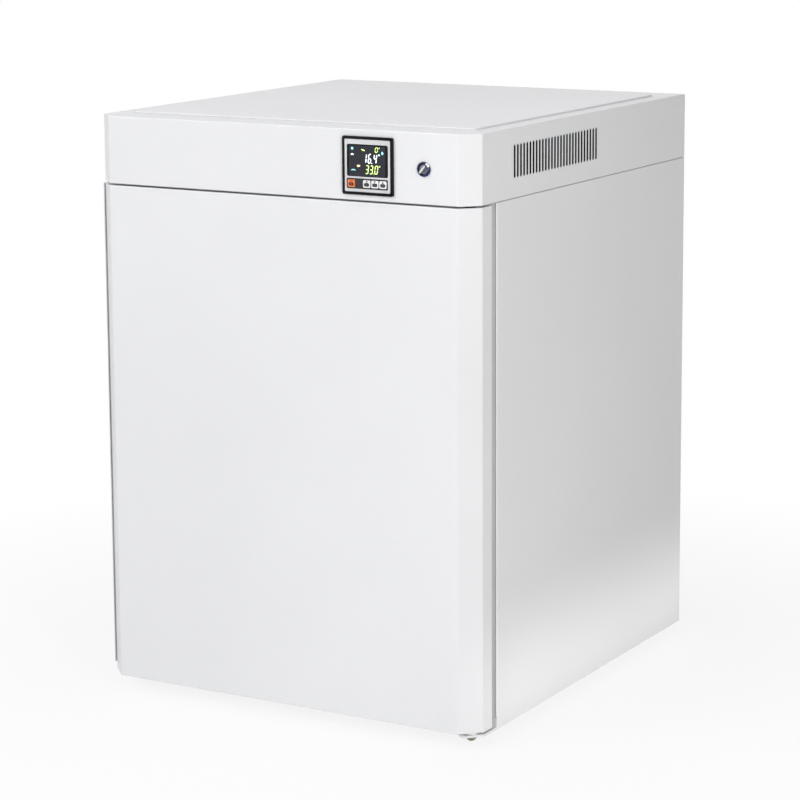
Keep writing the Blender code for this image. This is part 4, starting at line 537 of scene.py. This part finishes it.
def disc(centre, radius, steps=20):
    """Outline of a circle."""
    return [(centre[0] + radius * math.cos(math.tau * i / steps),
             centre[1] + radius * math.sin(math.tau * i / steps)) for i in range(steps)]


def aimed(axis, centre):
    """Matrix that turns +Z to an axis and then moves the origin to the centre."""
    turn = Vector((0, 0, 1)).rotation_difference(Vector(axis)).to_matrix().to_4x4()
    return Matrix.Translation(centre) @ turn


def turned(profile, axis, centre, steps=48):
    """Mesh turned from (radius, height) points round an axis through the centre."""
    bm = bmesh.new()
    verts = [bm.verts.new((radius, 0, height)) for radius, height in profile]
    edges = [bm.edges.new(pair) for pair in zip(verts, verts[1:])]
    bmesh.ops.spin(bm, geom=verts + edges, cent=(0, 0, 0), axis=(0, 0, 1), angle=math.tau,
                   steps=steps, use_merge=True, use_duplicate=False)
    bmesh.ops.remove_doubles(bm, verts=bm.verts[:], dist=1e-7)
    bm.transform(aimed(axis, centre))
    return bm


# Display. Its layout is in millimetres from the controller's middle.

DISPLAY_DEPTH = 0.04 * MM
LIT_CENTRE = (-0.3, 5.9)
LIT_HALF_WIDTH = 25.6
LIT_HALF_HEIGHT = 18.6
LIT_CORNER = 1.6
LEAN = 0.13                     # of a digit's height, to the right
SEGMENTS = {"0": "abcdef", "1": "bc", "3": "abcdg", "4": "bcfg", "6": "acdefg"}

# Text with a star for the degree ring, its right end, its base line, then the width, height,
# stroke and spacing of its digits
READINGS = {
    "display_measured": (WHITE_LIT, "16.4*", 16.6, 3.0, 4.8, 12.4, 1.5, 1.8),
    "display_set": (GREEN_LIT, "33.0*", 17.2, -9.8, 4.8, 11.0, 1.2, 1.2),
    "display_small": (GREEN_LIT, "0*", 17.0, 16.9, 4.2, 6.6, 1.0, 0.8),
}
controller = middle("controller_bezel")
window_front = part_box("controller_window")[0].y
face_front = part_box("controller_face")[0].y


def on_face(x, z):
    """A point in millimetres from the controller's middle, as (x, z) in metres."""
    return (controller.x + x * MM, controller.z + z * MM)


def segment(name, width, height, thick):
    """One bar of a seven-segment digit, as points in a box from (0, 0)."""
    half = thick / 2
    gap = thick * 0.12
    centre = height / 2
    level = {"a": height - half, "g": centre, "d": half}
    if name in level:
        z = level[name]
        return [(half + gap, z), (thick + gap, z + half), (width - thick - gap, z + half),
                (width - half - gap, z), (width - thick - gap, z - half), (thick + gap, z - half)]
    x = {"b": width - half, "c": width - half, "e": half, "f": half}[name]
    low, high = (centre, height - half) if name in "bf" else (half, centre)
    return [(x, low + gap), (x + half, low + thick / 2 + gap), (x + half, high - thick / 2 - gap),
            (x, high - gap), (x - half, high - thick / 2 - gap), (x - half, low + thick / 2 + gap)]


def digits(name, finish, text, right, base, width, height, thick, gap):
    """Seven-segment text that ends at the right-hand place."""
    bm = bmesh.new()
    x = right
    for letter in reversed(text):
        if letter == "*":
            outer = thick * 0.85
            z = base + height - outer
            centre = (x - outer + LEAN * (height - outer), z)
            rings = [[on_face(*p) for p in disc(centre, r, 16)] for r in (outer, outer * 0.45)]
            ring_slab(bm, *rings, window_front - DISPLAY_DEPTH, DISPLAY_DEPTH)
            x -= 2 * outer + gap * 0.6
        elif letter == ".":
            dot = [on_face(*p) for p in disc((x - 0.1, base + thick * 0.45), thick * 0.5, 12)]
            slab(bm, dot, window_front - DISPLAY_DEPTH, DISPLAY_DEPTH)
            x -= thick * 0.85
        else:
            for bar in SEGMENTS[letter]:
                points = [(x - width + u + LEAN * v, base + v)
                          for u, v in segment(bar, width, height, thick)]
                slab(bm, [on_face(*p) for p in points], window_front - DISPLAY_DEPTH,
                     DISPLAY_DEPTH)
            x -= (width if letter != "1" else thick * 1.6) + gap
    return piece(name, bm, finish, smooth=False)


def display():
    """The lit area, its readings and the small marks round them."""
    bm = bmesh.new()
    area = rounded(LIT_CENTRE, LIT_HALF_WIDTH, LIT_HALF_HEIGHT, LIT_CORNER)
    slab(bm, [on_face(*p) for p in area], window_front - DISPLAY_DEPTH / 2, DISPLAY_DEPTH / 2)
    piece("display_area", bm, CRYSTAL)
    for name, reading in READINGS.items():
        digits(name, *reading)
    marks = {
        "display_mark_run": (CYAN_LIT, disc((-21.3, 21.0), 1.7)),
        "display_mark_alarm": (WHITE_LIT, [
            (-23.4, 12.6), (-22.9, 14.2), (-21.9, 14.9), (-20.7, 14.9), (-19.7, 14.2),
            (-19.2, 12.6), (-20.4, 12.9), (-22.2, 12.9)]),
        "display_mark_output": (CYAN_LIT, [
            (-23.2, -6.4), (-22.6, -5.4), (-21.0, -4.5), (-18.8, -4.5), (-17.2, -5.4),
            (-16.6, -6.4), (-18.4, -5.9), (-21.4, -5.9)]),
        "display_mark_unit": (CYAN_LIT, [
            (19.6, 16.6), (21.4, 19.0), (23.2, 16.6), (21.4, 14.2)]),
        "display_label_upper": (GREEN_LIT, [
            (-8.6, 20.2), (-7.9, 20.7), (-3.8, 19.6), (-3.4, 18.5), (-4.2, 18.2), (-7.0, 19.0)]),
        "display_label_lower": (AMBER_LIT, [
            (-14.9, -0.4), (-14.0, 0.9), (-10.6, 0.9), (-9.9, -0.2), (-11.4, -1.6),
            (-13.8, -1.6)]),
    }
    for name, (finish, outline) in marks.items():
        bm = bmesh.new()
        slab(bm, [on_face(*p) for p in outline], window_front - DISPLAY_DEPTH, DISPLAY_DEPTH)
        piece(name, bm, finish, smooth=False)


# Print on the keys

BAND_MARGIN = 1.9 * MM          # black band round the row of keys
BAND_CORNER = 1.8 * MM
KEY_CLEARANCE = 0.3 * MM
KEY_CORNER = 1.6 * MM
BLOT_HALF_WIDTH = 3.6 * MM      # dark oval on each key, and its place under the key's middle
BLOT_HALF_HEIGHT = 2.2 * MM
BLOT_CORNER = 1.9 * MM
BLOT_DROP = 0.9 * MM
SYMBOL_RISE = 2.9 * MM          # dark symbol over the key's middle
SYMBOL_SIZE = 1.5 * MM
PALE_SYMBOL_SIZE = 0.9 * MM

KEY_SYMBOLS = {
    "key_set": [disc((-0.8, 0), 0.55, 10), disc((0.8, 0), 0.55, 10)],
    "key_shift": [[(-0.9, 0), (0.7, 1), (0.7, -1)]],
    "key_down": [[(-1, 0.7), (0, -0.9), (1, 0.7)]],
    "key_up": [[(-1, -0.7), (1, -0.7), (0, 0.9)]],
}


def key_symbol(bm, key, x, z, front, size):
    """A small arrow, or two dots, printed on a key."""
    for shape in KEY_SYMBOLS[key]:
        slab(bm, [(x + u * size, z + v * size) for u, v in shape], front, DISPLAY_DEPTH)


def outline_edges(bm, outline, y):
    """Edges of a closed outline of (x, z) points."""
    verts = [bm.verts.new((x, y, z)) for x, z in outline]
    return [bm.edges.new(pair) for pair in zip(verts, verts[1:] + verts[:1])]


def key_print():
    """Black band behind the keys, and what is printed on each key."""
    low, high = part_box("key_set")
    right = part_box("key_up")[1]
    band_x = (low.x + right.x) / 2
    band_z = (low.z + high.z) / 2
    half_x = (right.x - low.x) / 2 + BAND_MARGIN
    half_z = (high.z - low.z) / 2 + BAND_MARGIN
    bm = bmesh.new()
    front = face_front - DISPLAY_DEPTH
    edges = outline_edges(bm, rounded((band_x, band_z), half_x, half_z, BAND_CORNER), front)
    for key in KEY_SYMBOLS:
        low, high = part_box(key)
        centre = ((low.x + high.x) / 2, (low.z + high.z) / 2)
        hole = rounded(centre, (high.x - low.x) / 2 + KEY_CLEARANCE,
                       (high.z - low.z) / 2 + KEY_CLEARANCE, KEY_CORNER)
        edges += outline_edges(bm, hole, front)
    bmesh.ops.triangle_fill(bm, edges=edges, use_beauty=True, use_dissolve=False)
    drawn = bmesh.ops.extrude_face_region(bm, geom=bm.faces[:])
    moved = [item for item in drawn["geom"] if isinstance(item, bmesh.types.BMVert)]
    bmesh.ops.translate(bm, vec=(0, DISPLAY_DEPTH, 0), verts=moved)
    piece("key_band", bm, BLACK_INK, smooth=False)
    for key in KEY_SYMBOLS:
        low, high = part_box(key)
        x, z = (low.x + high.x) / 2, (low.z + high.z) / 2
        front = low.y - DISPLAY_DEPTH
        bm = bmesh.new()
        dark = DARK_INK if key == "key_set" else BLACK_INK
        slab(bm, rounded((x, z - BLOT_DROP), BLOT_HALF_WIDTH, BLOT_HALF_HEIGHT, BLOT_CORNER),
             front, DISPLAY_DEPTH)
        key_symbol(bm, key, x, z + SYMBOL_RISE, front, SYMBOL_SIZE)
        piece(key + "_print", bm, dark, key, False)
        bm = bmesh.new()
        key_symbol(bm, key, x, z - BLOT_DROP, front - DISPLAY_DEPTH, PALE_SYMBOL_SIZE)
        piece(key + "_symbol", bm, PALE_INK, key, False)


# Fasteners

SIDE_SCREW = (3.4 * MM, 0.8 * MM)   # radius and height of the head
REAR_SCREW = (3.2 * MM, 1.6 * MM)
INLET_SCREW = (2.0 * MM, 1.0 * MM)
REAR_INSET = 7 * MM                 # screws in from the panels' edges
REAR_SHARES = (0.02, 0.34, 0.66, 0.98)  # screws up the back panel's sides
INLET_INSET = 3.4 * MM


def cross_screw(name, centre, axis, size, finish=ZINC):
    """Pan-head screw with a cross recess, standing on a surface."""
    radius, height = size
    bm = turned([(0, 0), (radius, 0), (radius, height * 0.35), (radius * 0.86, height * 0.75),
                 (radius * 0.55, height), (0, height)], (0, 0, 1), (0, 0, 0), 28)
    mesh = bpy.data.meshes.new("tool")
    cutter = bmesh.new()
    arm, half, deep = radius * 0.58, radius * 0.13, height * 0.45
    for turn in (0, math.pi / 2):
        made = bmesh.ops.create_cube(cutter, size=1.0)
        move = (Matrix.Rotation(turn, 4, "Z")
                @ Matrix.Translation((0, 0, height))
                @ Matrix.Diagonal((2 * arm, 2 * half, 2 * deep, 1.0)))
        bmesh.ops.transform(cutter, matrix=move, verts=made["verts"])
    cutter.to_mesh(mesh)
    cutter.free()
    tool = bpy.data.objects.new("tool", mesh)
    scene.collection.objects.link(tool)
    made = piece(name, bm, finish)
    cut = made.modifiers.new("recess", "BOOLEAN")
    cut.object = tool
    cut.solver = "EXACT"
    cut.use_self = True
    bpy.context.view_layer.update()
    graph = bpy.context.evaluated_depsgraph_get()
    baked = bpy.data.meshes.new_from_object(made.evaluated_get(graph))
    made.modifiers.clear()
    bpy.data.objects.remove(tool)
    baked.transform(aimed(axis, centre))
    made.data = baked
    soften(baked)
    return made


def side_screws():
    """Screws in the header's sides."""
    for side, sign in (("left", -1), ("right", 1)):
        name = f"header_screw_{side}"
        low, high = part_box(name)
        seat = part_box("header_housing")[1 if sign > 0 else 0].x
        centre = Vector((seat, (low.y + high.y) / 2, (low.z + high.z) / 2))
        screw = cross_screw(f"side_screw_{side}", centre, (sign, 0, 0), SIDE_SCREW, WHITE)
        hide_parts(name)


def rear_screws():
    """Screws round the back panel and the header's rear panel."""
    low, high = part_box("back_panel")
    places = []
    for x in (low.x + REAR_INSET, high.x - REAR_INSET):
        for share in REAR_SHARES:
            places.append((x, low.z + (high.z - low.z) * share))
    for z in (low.z + REAR_INSET * 1.9, high.z - REAR_INSET * 1.9):
        places.append(((low.x + high.x) / 2, z))
    top_low, top_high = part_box("header_back")
    for x in (top_low.x + REAR_INSET, (top_low.x + top_high.x) / 2, top_high.x - REAR_INSET):
        places.append((x, top_high.z - REAR_INSET))
        places.append((x, top_low.z + REAR_INSET))
    for index, (x, z) in enumerate(places):
        cross_screw(f"rear_screw_{index:02d}", (x, high.y, z), (0, 1, 0), REAR_SCREW)
    inlet_low, inlet_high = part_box("mains_inlet")
    for index, x in enumerate((inlet_low.x + INLET_INSET, inlet_high.x - INLET_INSET)):
        cross_screw(f"inlet_screw_{index}", (x, inlet_high.y, middle("mains_inlet").z),
                    (0, 1, 0), INLET_SCREW)


# Vents, seal and hems

VENT_COUNT = 28
VENT_PITCH = 8.45 * MM
VENT_FIRST = 106 * MM           # header's front to the middle of the first slot
VENT_DROP = 42 * MM             # roof to the middle of the slots
VENT_WIDTH = 5.0 * MM
VENT_HEIGHT = 43 * MM
VENT_RECESS = 0.15 * MM         # side of the header to the gauze in the slots
VENT_CLEARANCE = 0.15 * MM
BACKING_END = 8 * MM            # backing strip past the slots' middles, and over and under
BACKING_EDGE = 6 * MM
BACKING_CORNER = 4 * MM
BACKING_THICK = 0.8 * MM
HEADER_SHEET = 1.0 * MM
COVER_RADIUS = 6 * MM
SEAL_INSET = 0.15 * MM
SEAL_WIDTH = 5 * MM
HEM_PROUD = 1.6 * MM
HEM_GAP_BELOW = 1 * MM
HEM_GAP_ABOVE = 0.6 * MM


def vent_shade_inserts():
    """Black gauze on a backing strip, pressed into the slots of each side from inside, as painted
    shade for the dark inside of the header.
    """
    low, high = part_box("header_housing")
    z = high.z - VENT_DROP
    first = low.y + VENT_FIRST
    last = first + VENT_PITCH * (VENT_COUNT - 1)
    half = VENT_WIDTH / 2 - VENT_CLEARANCE
    straight = VENT_HEIGHT / 2 - VENT_WIDTH / 2
    strip = rounded(((first + last) / 2, z), (last - first) / 2 + BACKING_END,
                    VENT_HEIGHT / 2 + BACKING_EDGE, BACKING_CORNER)
    for side, x, inward in (("left", low.x, 1), ("right", high.x, -1)):
        bm = bmesh.new()
        upright(bm, strip, x + inward * (HEADER_SHEET + VENT_CLEARANCE),
                inward * BACKING_THICK)
        for index in range(VENT_COUNT):
            y = first + index * VENT_PITCH
            slot = [(y - half, z - straight), (y, z - straight - half),
                    (y + half, z - straight), (y + half, z + straight),
                    (y, z + straight + half), (y - half, z + straight)]
            upright(bm, slot, x + inward * VENT_RECESS,
                    inward * (HEADER_SHEET + 2 * VENT_CLEARANCE - VENT_RECESS))
        piece(f"vent_shade_insert_{side}", bm, SHADE_GAUZE, smooth=False)


def cover_seal():
    """White sealing strip in the gap between the roof and its access cover."""
    low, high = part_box("top_cover")
    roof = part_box("header_housing")[1].z
    centre = ((low.x + high.x) / 2, (low.y + high.y) / 2)
    half_x, half_y = (high.x - low.x) / 2 - SEAL_INSET, (high.y - low.y) / 2 - SEAL_INSET
    outer = rounded(centre, half_x, half_y, COVER_RADIUS - SEAL_INSET)
    inner = rounded(centre, half_x - SEAL_WIDTH, half_y - SEAL_WIDTH,
                    COVER_RADIUS - SEAL_WIDTH)
    bm = bmesh.new()
    rows = []
    for outline, z in ((outer, low.z), (inner, low.z), (inner, roof), (outer, roof)):
        rows.append([bm.verts.new((x, y, z)) for x, y in outline])
    band(bm, rows + rows[:1])
    piece("cover_seal", bm, SILICONE, smooth=False)


def case_hems():
    """Folded hem down each front edge of the case."""
    low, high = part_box("cabinet_case")
    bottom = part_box("hinge_bracket_lower")[1].z + HEM_GAP_BELOW
    top = high.z - HEM_GAP_ABOVE
    profile = [(0.0, 0.0), (0.3 * MM, -0.5 * MM), (1.3 * MM, -HEM_PROUD + 0.1 * MM),
               (1.7 * MM, -HEM_PROUD), (2.1 * MM, -HEM_PROUD + 0.2 * MM), (3.2 * MM, 0.0)]
    for side, edge, inward in (("left", low.x, 1), ("right", high.x, -1)):
        bm = bmesh.new()
        prism(bm, *([(edge + inward * u, low.y + v, z) for u, v in profile]
                    for z in (bottom, top)))
        piece(f"case_hem_{side}", bm, WHITE, smooth=False)


# Feet and switch

# Pad from its underside up: inset from its rim and height, in millimetres
PAD_PROFILE = ((5, 0.6), (4.4, 0), (2, 0), (0.6, 0.5), (0, 1.6), (0, 3.6), (0.7, 4.3),
               (2.6, 6.4), (4.2, 8.2), (5, 10.2), (5.6, 10.4))
# Nut over the pad: radius and height, in millimetres
NUT_PROFILE = ((0, 10.4), (11.6, 10.4), (11.6, 13.2), (11.2, 13.6), (4.6, 13.6))
NUT_TOP = 13.6 * MM
THREAD_PITCH = 1.0 * MM
THREAD_CREST = 5.0 * MM
THREAD_ROOT = 4.5 * MM
STUD_POINT = 3.8 * MM
STUD_LEAD = 1.6 * MM            # plain end of the stud
SWITCH_RADIUS = 9.2 * MM
BAR_TURN = math.radians(40)     # grip bar, clockwise from upright
BAR_HALF_LENGTH = 5.7 * MM
BAR_HALF_WIDTH = 1.3 * MM
HIGHLIGHT_FROM = 22                  # painted highlight wedge on the bezel, in degrees round it from the right
HIGHLIGHT_SWEEP = 42
HIGHLIGHT_STEPS = 8
HIGHLIGHT_THICK = 0.06 * MM


def feet():
    """Turned feet: rubber pad, nut and threaded stud."""
    for name in ("foot_front_left", "foot_front_right", "foot_rear_left", "foot_rear_right"):
        low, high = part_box(name)
        centre = ((low.x + high.x) / 2, (low.y + high.y) / 2, 0.0)
        radius = (high.x - low.x) / 2
        pad = [(radius - inset * MM, up * MM) for inset, up in PAD_PROFILE]
        pad = [(0, pad[0][1]), *pad, (0, pad[-1][1])]
        made = piece(name + "_pad", turned(pad, (0, 0, 1), centre), PAD, name)
        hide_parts(name)
        stud = [(out * MM, up * MM) for out, up in NUT_PROFILE]
        z = NUT_TOP
        while z < high.z - STUD_LEAD:
            stud += [(THREAD_CREST, z + THREAD_PITCH * 0.5), (THREAD_ROOT, z + THREAD_PITCH)]
            z += THREAD_PITCH
        stud += [(STUD_POINT, high.z), (0, high.z)]
        piece(name + "_stud", turned(stud, (0, 0, 1), centre, 36), ZINC, name)


def switch():
    """Chromed rotary switch: stepped bezel and dished core in colours that paint dark reflections,
    a bright grip bar, and a white wedge on the bezel that is a painted highlight.
    """
    bar_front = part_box("power_switch_knob")[0].y
    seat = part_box("header_housing")[0].y
    centre = middle("power_switch_bezel")
    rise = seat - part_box("power_switch_bezel")[0].y
    ring = [(6.5 * MM, 0.1 * MM), (6.5 * MM, rise - 0.7 * MM), (6.9 * MM, rise - 0.15 * MM),
            (7.3 * MM, rise), (7.9 * MM, rise - 0.05 * MM), (8.5 * MM, rise - 0.5 * MM),
            (SWITCH_RADIUS, rise - 1.5 * MM), (SWITCH_RADIUS, 0.35 * MM)]
    place_on = Vector((centre.x, seat, centre.z))
    bezel = piece("switch_bezel", turned(ring, (0, -1, 0), place_on, 72), CHROME_PAINTED_DARK_REFLECTION)
    solid = bezel.modifiers.new("wall", "SOLIDIFY")
    solid.thickness = 0.15 * MM
    solid.offset = -1.0
    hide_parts("power_switch_bezel")
    face = rise - 1.4 * MM
    core = [(0, face - 0.5 * MM), (2.5 * MM, face - 0.42 * MM), (4.8 * MM, face - 0.15 * MM),
            (5.7 * MM, face), (6.1 * MM, face - 0.25 * MM), (6.2 * MM, face - 0.9 * MM),
            (6.2 * MM, 0.2 * MM), (0, 0.2 * MM)]
    knob = piece("switch_core", turned(core, (0, -1, 0), place_on, 64), CHROME_PAINTED_GREY_REFLECTION,
                 "power_switch_knob")
    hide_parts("power_switch_knob")
    bm = bmesh.new()
    outline = []
    for u, v in rounded((0, 0), BAR_HALF_LENGTH, BAR_HALF_WIDTH, BAR_HALF_WIDTH * 0.9, 5):
        outline.append((centre.x + u * math.sin(BAR_TURN) + v * math.cos(BAR_TURN),
                        centre.z + u * math.cos(BAR_TURN) - v * math.sin(BAR_TURN)))
    slab(bm, outline, bar_front, seat - bar_front - face + 0.3 * MM)
    edges = [e for e in bm.edges if all(abs(v.co.y - bar_front) < 1e-6 for v in e.verts)]
    bmesh.ops.bevel(bm, geom=edges, offset=0.35 * MM, segments=3, profile=0.6,
                    affect="EDGES")
    piece("switch_bar", bm, BRIGHT, "power_switch_knob")
    # White wedge on the bezel: a painted highlight.
    bm = bmesh.new()
    rows = []
    for out, up in ring[1:7]:
        row = []
        for step in range(HIGHLIGHT_STEPS + 1):
            angle = math.radians(HIGHLIGHT_FROM + HIGHLIGHT_SWEEP * step / HIGHLIGHT_STEPS)
            row.append(bm.verts.new((centre.x + (out + HIGHLIGHT_THICK) * math.cos(angle),
                                     seat - up - HIGHLIGHT_THICK,
                                     centre.z + (out + HIGHLIGHT_THICK) * math.sin(angle))))
        rows.append(row)
    band(bm, rows, closed=False)
    mark = piece("switch_highlight", bm, PAINTED_HIGHLIGHT)
    solid = mark.modifiers.new("thickness", "SOLIDIFY")
    solid.thickness = HIGHLIGHT_THICK


display()
key_print()
side_screws()
rear_screws()
vent_shade_inserts()
cover_seal()
case_hems()
feet()
switch()


# Light, floor and camera

NEAR_FLOOR = 0.45               # the floor's shadow is at full strength up to here
FAR_FLOOR = 1.1                 # beyond this the floor shows as plain white
FLOOR_GLOW = 0.86               # share of plain white where the shadow is at full strength
FLOOR_HALF = 60.0
SKY_LIGHT = 0.19
SENSOR_WIDTH = 36.0
CLIP_RANGE = (0.05, 200.0)

# Azimuth 0 is in front of the object and 90 to its right. Powers are in watts.
LAMPS = {
    "key": {"azimuth": -28, "elevation": 32, "distance": 3.4, "width": 2.2, "height": 2.2,
            "power": 48.5, "target": (0, 0, 0.45), "colour": (0.96, 0.975, 1.0)},
    "roof": {"azimuth": 10, "elevation": 82, "distance": 3.0, "width": 2.6, "height": 2.6,
             "power": 28, "target": (0, 0, 0.5), "colour": (0.965, 0.945, 1.0)},
    "low side": {"azimuth": 90, "elevation": -4, "distance": 0.4, "width": 0.7, "height": 0.04,
                 "power": 0.092, "target": (0.28, 0.04, 0.05), "spread": 38},
    "strip": {"azimuth": 49, "elevation": 14, "distance": 2.6, "width": 0.35, "height": 1.7,
              "power": 33.5, "target": (0.25, -0.3, 0.45)},
}


def area_light(name, azimuth, elevation, distance, width, height, power, target,
               colour=(1, 1, 1), spread=180):
    """Soft rectangular light aimed at a target."""
    lamp = bpy.data.lights.new(name, "AREA")
    lamp.shape = "RECTANGLE"
    lamp.size, lamp.size_y = width, height
    lamp.energy = power
    lamp.color = colour
    lamp.spread = math.radians(spread)
    made = bpy.data.objects.new(name, lamp)
    scene.collection.objects.link(made)
    turn, rise = math.radians(azimuth), math.radians(elevation)
    away = Vector((math.sin(turn) * math.cos(rise), -math.cos(turn) * math.cos(rise),
                   math.sin(rise)))
    made.location = Vector(target) + away * distance
    made.rotation_euler = (-away).to_track_quat("-Z", "Y").to_euler()


def camera():
    """The photograph's camera."""
    data = bpy.data.cameras.new("camera")
    data.sensor_width = SENSOR_WIDTH
    data.lens = CAMERA_LENS
    data.shift_y = CAMERA_SHIFT
    data.clip_start, data.clip_end = CLIP_RANGE
    made = bpy.data.objects.new("camera", data)
    scene.collection.objects.link(made)
    turn, rise = math.radians(CAMERA_AZIMUTH), math.radians(CAMERA_ELEVATION)
    ahead = Vector((-math.sin(turn) * math.cos(rise), math.cos(turn) * math.cos(rise),
                    -math.sin(rise)))
    roll = Matrix.Rotation(math.radians(CAMERA_ROLL), 4, "Z")
    made.matrix_world = (Matrix.Translation(CAMERA_PLACE)
                         @ ahead.to_track_quat("-Z", "Y").to_matrix().to_4x4() @ roll)
    scene.camera = made


def shown(tree):
    """One for the rays of the camera, of reflections and of glass, nought for the others."""
    path = node(tree, "ShaderNodeLightPath")
    seen = calc(tree, "MAXIMUM", path.outputs["Is Camera Ray"],
                path.outputs["Is Transmission Ray"])
    return calc(tree, "MAXIMUM", seen, path.outputs["Is Glossy Ray"])


def floor():
    """A wide pale floor that shows as white but keeps the object's shadow."""
    bm = bmesh.new()
    bmesh.ops.create_grid(bm, x_segments=8, y_segments=8, size=FLOOR_HALF)
    mesh = bpy.data.meshes.new("floor")
    bm.to_mesh(mesh)
    bm.free()
    made = bpy.data.objects.new("floor", mesh)
    scene.collection.objects.link(made)
    paint = bpy.data.materials.new("floor paint")
    paint.use_nodes = True
    tree = paint.node_tree
    tree.nodes.clear()
    away = node(tree, "ShaderNodeVectorMath", (0, place(tree)), operation="LENGTH")
    glowing = spread(tree, away.outputs["Value"], NEAR_FLOOR, FAR_FLOOR, FLOOR_GLOW, 1.0)
    cloud = noise(tree, place(tree), 0.7, 2.0)
    tone = blend_colour(tree, spread(tree, cloud, 0.3, 0.7), (0.86, 0.86, 0.86),
                        (0.88, 0.88, 0.88))
    matt = node(tree, "ShaderNodeBsdfDiffuse", ("Color", tone)).outputs[0]
    glow = node(tree, "ShaderNodeEmission", ("Color", (1, 1, 1, 1)),
                ("Strength", 1.0)).outputs[0]
    share = calc(tree, "MULTIPLY", shown(tree), glowing)
    mixed = node(tree, "ShaderNodeMixShader", (0, share), (1, matt), (2, glow)).outputs[0]
    node(tree, "ShaderNodeOutputMaterial", ("Surface", mixed))
    mesh.materials.append(paint)


def world():
    """Even studio light, seen as white by the camera, metal and glass."""
    made = bpy.data.worlds.new("studio")
    scene.world = made
    made.use_nodes = True
    tree = made.node_tree
    tree.nodes.clear()
    plain = node(tree, "ShaderNodeBackground", ("Color", (1, 1, 1, 1)),
                 ("Strength", SKY_LIGHT)).outputs[0]
    white = node(tree, "ShaderNodeBackground", ("Color", (1, 1, 1, 1)),
                 ("Strength", 1.0)).outputs[0]
    mixed = node(tree, "ShaderNodeMixShader", (0, shown(tree)), (1, plain),
                 (2, white)).outputs[0]
    node(tree, "ShaderNodeOutputWorld", ("Surface", mixed))


for name, settings in LAMPS.items():
    area_light(name, **settings)
camera()
floor()
world()
scene.view_settings.view_transform = "Standard"
